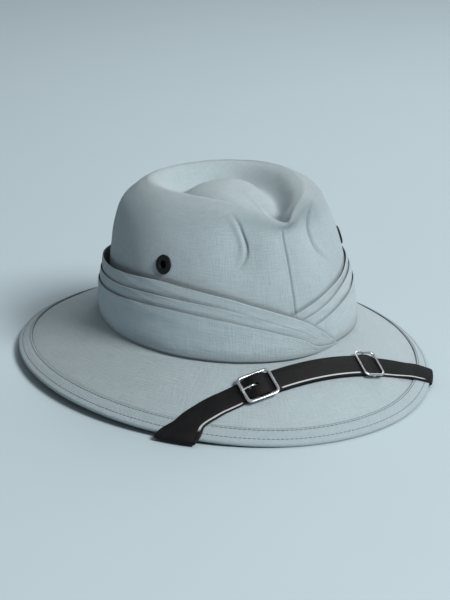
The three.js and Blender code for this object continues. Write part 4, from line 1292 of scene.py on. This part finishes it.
def make_strap_right():
    """The lower strap: its pared end curled round the buckle's bar, then along the brim and under it."""
    b = BUCKLE_AT
    turn = np.radians(np.linspace(CURL_FROM, CURL_TO, 24))
    curl = stack(b + SLEEVE * np.cos(turn), BAR_HEIGHT + SLEEVE * np.sin(turn), PARED)
    lead = [(b + 3, 0.95, PARED), (b + 5.5, LOW, PARED), (b + 9, LOW, LOW), (b + 16, LOW, LOW)]
    flat = [(s, LOW, LOW) for s in np.arange(b + 22, STRAIGHT_RIGHT - 2, 4.0)] + [(STRAIGHT_RIGHT, LOW, LOW)]
    line = np.concatenate([curl, curve(np.array(lead + flat), 2)])
    piece = strap_piece("strap_lower_leather", [strap_rows(line), turned_rows(1, STRAIGHT_RIGHT)])
    cut_holes(piece, [slot_cutter(b, *PRONG_SLOT)])
    return piece


def make_tab_stitches():
    """Two rows of stitches across each strap's sewn end, under the brim."""
    paths = []
    for side in (-1, 1):
        reach = STRAP_WIDTH / 2 * end_width(END_REACH, side) - 2.5
        w = np.linspace(-reach, reach, 24)
        for row in END_ROWS:
            s = along_for(side, FOLD_LENGTH + row, w)
            line = strap_point(s, w, STRAP_THICK + THREAD_SUNK)
            paths.append((line, unit(strap_point(s, w, STRAP_THICK + 1) - line)))
    return stitch_piece("strap_end_stitches", paths)


# ---- Buckle, slide and eyelets ----------------------------------------------------------------------------
PRONG_RADIUS, EYE_HALF = 0.85, 0.5  # of the arm at its root, and half the thickness of the eye's metal
SLIDE_BAR = (1.1, 0.5, 0.45)  # half its size along and across the strap and off it


def rounded_path(long, wide, radius):
    """A rounded rectangle: quarter circles joined by straight sides, with its outward directions."""
    turns = np.concatenate([np.linspace(q, q + math.pi / 2, 9) for q in np.arange(4) * math.pi / 2])
    quarter = np.repeat(np.arange(4), 9)
    right = np.where((quarter == 0) | (quarter == 3), 1, -1)
    up = np.where(quarter < 2, 1, -1)
    x = right * (long / 2 - radius) + radius * np.cos(turns)
    y = up * (wide / 2 - radius) + radius * np.sin(turns)
    return np.stack([x, y], axis=1), np.stack([np.cos(turns), np.sin(turns)], axis=1)


def ring_points(along, wire, thick, at):
    """A metal frame: a softened oblong section carried round a rounded rectangle, set on the strap."""
    path, out = rounded_path(along - wire, FRAME_WIDE - wire, FRAME_CORNER - wire / 2)
    across, high = (np.sign(x) * np.abs(x) ** 0.6 for x in (np.cos(circle(16)), np.sin(circle(16))))
    flat = path[:, None] + out[:, None] * (wire / 2 * across)[None, :, None]
    off = thick / 2 * high + FRAME_FOOT + thick / 2
    return place_on_strap(stack(flat[..., 0], flat[..., 1], off), at)


def tube(path, radii, sides=14):
    """A round tube along a path: circles square to it, with one radius or one at each point. The circles
    start square to a direction that no bar runs along."""
    along = unit(np.gradient(path, axis=0))
    side = unit(np.cross(along, (0.13, 0.29, 0.95)))
    up = np.cross(side, along)
    cos, sin = np.cos(circle(sides))[:, None], np.sin(circle(sides))[:, None]
    ring = side[:, None] * cos + up[:, None] * sin
    return path[:, None] + ring * np.reshape(radii, (-1, 1, 1))


def join(name, parts):
    """One piece from several grids of loops. Each part is (points, closed)."""
    points, faces, base = [], [], 0
    for grid, closed in parts:
        rows, count = grid.shape[:2]
        found = loop_faces(rows, count, closed_rows=True) if closed else capped_faces(rows, count)
        faces += [[base + i for i in face] for face in found]
        points.append(grid.reshape(-1, 3))
        base += rows * count
    return build_mesh(name, np.concatenate(points), faces)


def bar_path(rail, ends, low, shoulder):
    """A bar across a frame from rail to rail, whose ends come down from the frame's wire to its height."""
    half = [(0, rail, ends), (0, rail, low + shoulder), (0, rail - 1, low)]
    return curve([(x, -y, z) for x, y, z in half] + [(0, 0, low)] + half[::-1], 6)


def make_buckle():
    """The buckle's frame with its centre bar bent down below it."""
    path = bar_path(FRAME_WIDE / 2 - 1.1, FRAME_FOOT + BUCKLE_THICK / 2, BAR_HEIGHT, 0.5)
    bar = tube(place_on_strap(path, BUCKLE_AT), BAR_RADIUS * 0.95)
    ring = ring_points(BUCKLE_ALONG, BUCKLE_WIRE, BUCKLE_THICK, BUCKLE_AT)
    return join("buckle_ring", [(ring, True), (bar, False)])


def make_prong():
    """The prong: an eye round the bar, and an arm that tapers to its tip on the frame."""
    out = stack(np.cos(circle(28)), 0, np.sin(circle(28)))[:, None]
    cos, sin = np.cos(circle(10))[:, None], np.sin(circle(10))[:, None]
    eye = out * (BAR_RADIUS + GAP + EYE_HALF * (1 + cos)) + (0, PRONG_RADIUS, 0) * sin + (0, 0, BAR_HEIGHT)
    tip, rest = -BUCKLE_ALONG / 2, FRAME_FOOT + BUCKLE_THICK + 0.75
    arm = [(0.4, BAR_HEIGHT + 1.7), (-1.4, BAR_HEIGHT + 2.6), (-4.2, BAR_HEIGHT + 4.3), (-7.5, rest + 0.9)]
    arm += [(-10.6, rest + 0.35), (tip + 1, rest), (tip - 0.7, rest - 0.05)]
    path = place_on_strap(curve([(s, 0, off) for s, off in arm], 5), BUCKLE_AT)
    taper = np.linspace(1.0, 0.62, len(path))
    taper[-3:] *= (0.9, 0.7, 0.3)
    parts = [(place_on_strap(eye, BUCKLE_AT), True), (tube(path, PRONG_RADIUS * taper), False)]
    return join("buckle_prong_metal", parts)


def make_slide():
    """The slide's frame, with its flat bar between the two straps."""
    path = bar_path(FRAME_WIDE / 2 - 0.9, FRAME_FOOT + SLIDE_THICK / 2, STRAP_THICK + GAP + 0.55, 0.6)
    bar = tube(path, 1.0)
    middle = bar.mean(axis=1, keepdims=True)
    bar = place_on_strap(middle + (bar - middle) * SLIDE_BAR, SLIDE_AT)
    ring = ring_points(SLIDE_ALONG, SLIDE_WIRE, SLIDE_THICK, SLIDE_AT)
    return join("slide_ring", [(ring, True), (bar, False)])


def make_eyelet(name, side):
    """A pressed eyelet: a rolled outer flange, the barrel through the cloth, and a flat flange inside."""
    inner, outer = -CROWN_WALL - GAP - 0.35, 0.35
    bore, barrel, flange = EYELET_BORE, EYELET_BARREL, EYELET_FLANGE
    profile = [
        # distance from the eyelet's axis, height off the crown's surface
        (bore, inner - 0.6), (bore + 0.5, inner - 0.8), (flange - 1.4, inner - 0.7),
        (flange - 1, inner - 0.35), (flange - 1.3, inner), (barrel, inner + 0.1), (barrel, outer),
        (flange - 0.2, outer - 0.05), (flange, outer + 0.25), (flange - 0.35, outer + 0.75),
        (flange - 1.5, outer + 1.15), (bore + 1.1, outer + 1.2), (bore + 0.3, outer + 0.85),
        (bore, outer + 0.1),
    ]  # fmt: skip
    radius, height = curve(profile, 3, closed=True).T
    turn = circle(44)[:, None]
    at, axes = eyelet_axes(side)
    grid = stack(radius * np.cos(turn), radius * np.sin(turn), height)
    return build_mesh(name, grid @ axes + at, loop_faces(*grid.shape[:2], closed_rows=True))


# ---- Operators ------------------------------------------------------------------------------------------
class SAFARI_HAT_OT_crown(bpy.types.Operator):
    """Makes the crown's cloth."""

    bl_idname = "safari_hat.crown"
    bl_label = "Crown"

    def execute(self, context):
        canvas = cloth_material("canvas cloth", colours().canvas, sewing().canvas_thread, twill=True)
        finish_piece(make_crown(), canvas, "canvas", "crown")
        return {"FINISHED"}


class SAFARI_HAT_OT_brim(bpy.types.Operator):
    """Makes the brim, its binding and their stitches."""

    bl_idname = "safari_hat.brim"
    bl_label = "Brim and binding"

    def execute(self, context):
        finish_piece(make_brim(), bpy.data.materials["canvas cloth"], "canvas", "brim")
        tape = cloth_material("binding tape", colours().binding, sewing().band_thread, twill=False)
        finish_piece(make_binding(), tape, "binding", "brim_binding")
        finish_piece(make_binding_stitches(), thread_material(), "binding")
        return {"FINISHED"}


class SAFARI_HAT_OT_sweatband(bpy.types.Operator):
    """Makes the sweatband and its stitches."""

    bl_idname = "safari_hat.sweatband"
    bl_label = "Sweatband"

    def execute(self, context):
        ribbed = ribbed_material("ribbed tape", colours().sweatband, 0.0011)
        finish_piece(make_sweatband(), ribbed, "sweatband", "sweatband")
        finish_piece(make_sweatband_stitches(), bpy.data.materials["sewing thread"], "binding")
        return {"FINISHED"}


class SAFARI_HAT_OT_puggaree(bpy.types.Operator):
    """Makes the pleated band."""

    bl_idname = "safari_hat.puggaree"
    bl_label = "Puggaree"

    def execute(self, context):
        cotton = cloth_material("band cotton", colours().band, sewing().band_thread, twill=False, fade=0.08)
        band = finish_piece(make_puggaree(), cotton, "puggaree", "puggaree")
        return {"FINISHED"}


class SAFARI_HAT_OT_chin_strap(bpy.types.Operator):
    """Makes both halves of the chin strap."""

    bl_idname = "safari_hat.chin_strap"
    bl_label = "Chin strap"

    def execute(self, context):
        leather = leather_material()
        finish_piece(make_strap_left(), leather, "leather", "chin_strap_left")
        finish_piece(make_strap_right(), leather, "leather", "chin_strap_right")
        finish_piece(make_tab_stitches(), bpy.data.materials["sewing thread"], "binding")
        return {"FINISHED"}


class SAFARI_HAT_OT_fittings(bpy.types.Operator):
    """Makes the buckle, its prong, the slide and the eyelets."""

    bl_idname = "safari_hat.fittings"
    bl_label = "Fittings"

    def execute(self, context):
        nickel = nickel_material()
        finish_piece(make_buckle(), nickel, "nickel", "buckle_frame")
        finish_piece(make_prong(), nickel, "nickel", "buckle_prong")
        finish_piece(make_slide(), nickel, "nickel", "strap_slide")
        enamel = enamel_material()
        for name, side in (("eyelet_right", -1), ("eyelet_left", 1)):
            finish_piece(make_eyelet(name + "_metal", side), enamel, "enamel", name)
        return {"FINISHED"}


class SAFARI_HAT_OT_stage(bpy.types.Operator):
    """Makes the floor, the lights and the camera."""

    bl_idname = "safari_hat.stage"
    bl_label = "Stage"

    def execute(self, context):
        make_floor()
        make_lights()
        make_camera()
        return {"FINISHED"}


# ---- Stage ------------------------------------------------------------------------------------------------
AZIMUTH, ELEVATION = math.radians(-33.4), math.radians(20.5)
SENSOR, LENS, DISTANCE = 36, 131.4, 1.7  # millimetres, and metres from the hat
AIM_RIGHT, AIM_UP = -0.00326, 0.00582  # metres from the crown's foot to where the camera looks
OUTWARD = Vector((math.sin(AZIMUTH), -math.cos(AZIMUTH), 0))
TO_CAMERA = OUTWARD * math.cos(ELEVATION) + Vector((0, 0, math.sin(ELEVATION)))
RIGHT = Vector((math.cos(AZIMUTH), math.sin(AZIMUTH), 0))
UP = Vector((0, 0, 1))
MIDDLE = Vector((0, -BRIM_SHIFT, CROWN_FOOT)) / 1000  # the crown's foot
LIGHTS = (
    # name, metres from the middle to the right, to the camera and up, size, power in watts, tint
    ("key", 1.7, 1.8, 1.6, 0.96, 123, (1.0, 0.985, 0.96)),
    ("fill", -1.2, 1.6, 0.6, 1.6, 1, (0.94, 0.97, 1.0)),
    ("back", 0.4, -1.0, 1.5, 0.9, 8, (1.0, 1.0, 1.0)),
)
SKY_TINT, SKY_STRENGTH = (0.80, 0.86, 0.90, 1), 0.26
FLOOR_HALF = 6


def make_floor():
    """A wide plain floor at the height on which the brim rests."""
    mesh = bpy.data.meshes.new("floor")
    corners = [(x * FLOOR_HALF, y * FLOOR_HALF, 0) for x, y in ((-1, -1), (1, -1), (1, 1), (-1, 1))]
    mesh.from_pydata(corners, [], [(0, 1, 2, 3)])
    floor = bpy.data.objects.new("floor", mesh)
    bpy.context.scene.collection.objects.link(floor)
    mesh.materials.append(floor_material())


def area_light(name, place, size, power, tint):
    """A square soft light that faces the hat."""
    data = bpy.data.lights.new(name, "AREA")
    data.size, data.energy, data.color = size, power, tint
    light = bpy.data.objects.new(name, data)
    light.location = place
    light.rotation_euler = (MIDDLE - light.location).to_track_quat("-Z", "Y").to_euler()
    bpy.context.scene.collection.objects.link(light)


def make_lights():
    """A soft key from the right, a weak fill from the left, a light from behind and a pale sky."""
    for name, right, near, up, size, power, tint in LIGHTS:
        area_light(name, MIDDLE + RIGHT * right + TO_CAMERA * near + UP * up, size, power, tint)
    world = bpy.data.worlds.new("pale sky")
    world.use_nodes = True
    sky = world.node_tree.nodes["Background"]
    sky.inputs["Color"].default_value = SKY_TINT
    sky.inputs["Strength"].default_value = SKY_STRENGTH
    bpy.context.scene.world = world


def make_camera():
    """A long lens that looks down on the hat from its front right."""
    data = bpy.data.cameras.new("camera")
    data.sensor_width, data.lens = SENSOR, LENS
    camera = bpy.data.objects.new("camera", data)
    camera.location = MIDDLE + TO_CAMERA * DISTANCE
    aim = MIDDLE + RIGHT * AIM_RIGHT + RIGHT.cross(-TO_CAMERA) * AIM_UP
    camera.rotation_euler = (aim - camera.location).to_track_quat("-Z", "Y").to_euler()
    bpy.context.scene.collection.objects.link(camera)
    bpy.context.scene.camera = camera
    bpy.context.scene.view_settings.view_transform = "Standard"


# ---- Panel and registration -----------------------------------------------------------------------------
OPERATORS = (
    SAFARI_HAT_OT_stage,
    SAFARI_HAT_OT_crown,
    SAFARI_HAT_OT_brim,
    SAFARI_HAT_OT_sweatband,
    SAFARI_HAT_OT_puggaree,
    SAFARI_HAT_OT_chin_strap,
    SAFARI_HAT_OT_fittings,
)


class SAFARI_HAT_PT_panel(bpy.types.Panel):
    """Lists the hat's settings and pieces."""

    bl_idname = "SAFARI_HAT_PT_panel"
    bl_label = "Safari Hat"
    bl_space_type = "VIEW_3D"
    bl_region_type = "UI"
    bl_category = "Safari Hat"

    def draw(self, context):
        for group in (colours(), sewing()):
            for name in group.__annotations__:
                self.layout.prop(group, name)
        for operator in OPERATORS:
            self.layout.operator(operator.bl_idname)


CLASSES = (SafariHatColours, SafariHatSewing, *OPERATORS, SAFARI_HAT_PT_panel)


def register():
    """Adds the classes and the settings."""
    for made in CLASSES:
        bpy.utils.register_class(made)
    bpy.types.Scene.safari_hat_colours = PointerProperty(type=SafariHatColours)
    bpy.types.Scene.safari_hat_sewing = PointerProperty(type=SafariHatSewing)


def unregister():
    """Removes the settings and the classes."""
    del bpy.types.Scene.safari_hat_colours
    del bpy.types.Scene.safari_hat_sewing
    for made in reversed(CLASSES):
        bpy.utils.unregister_class(made)


def main():
    """Builds the hat and its stage."""
    register()
    for operator in OPERATORS:
        group, name = operator.bl_idname.split(".")
        getattr(getattr(bpy.ops, group), name)()


if __name__ == "__main__":
    main()
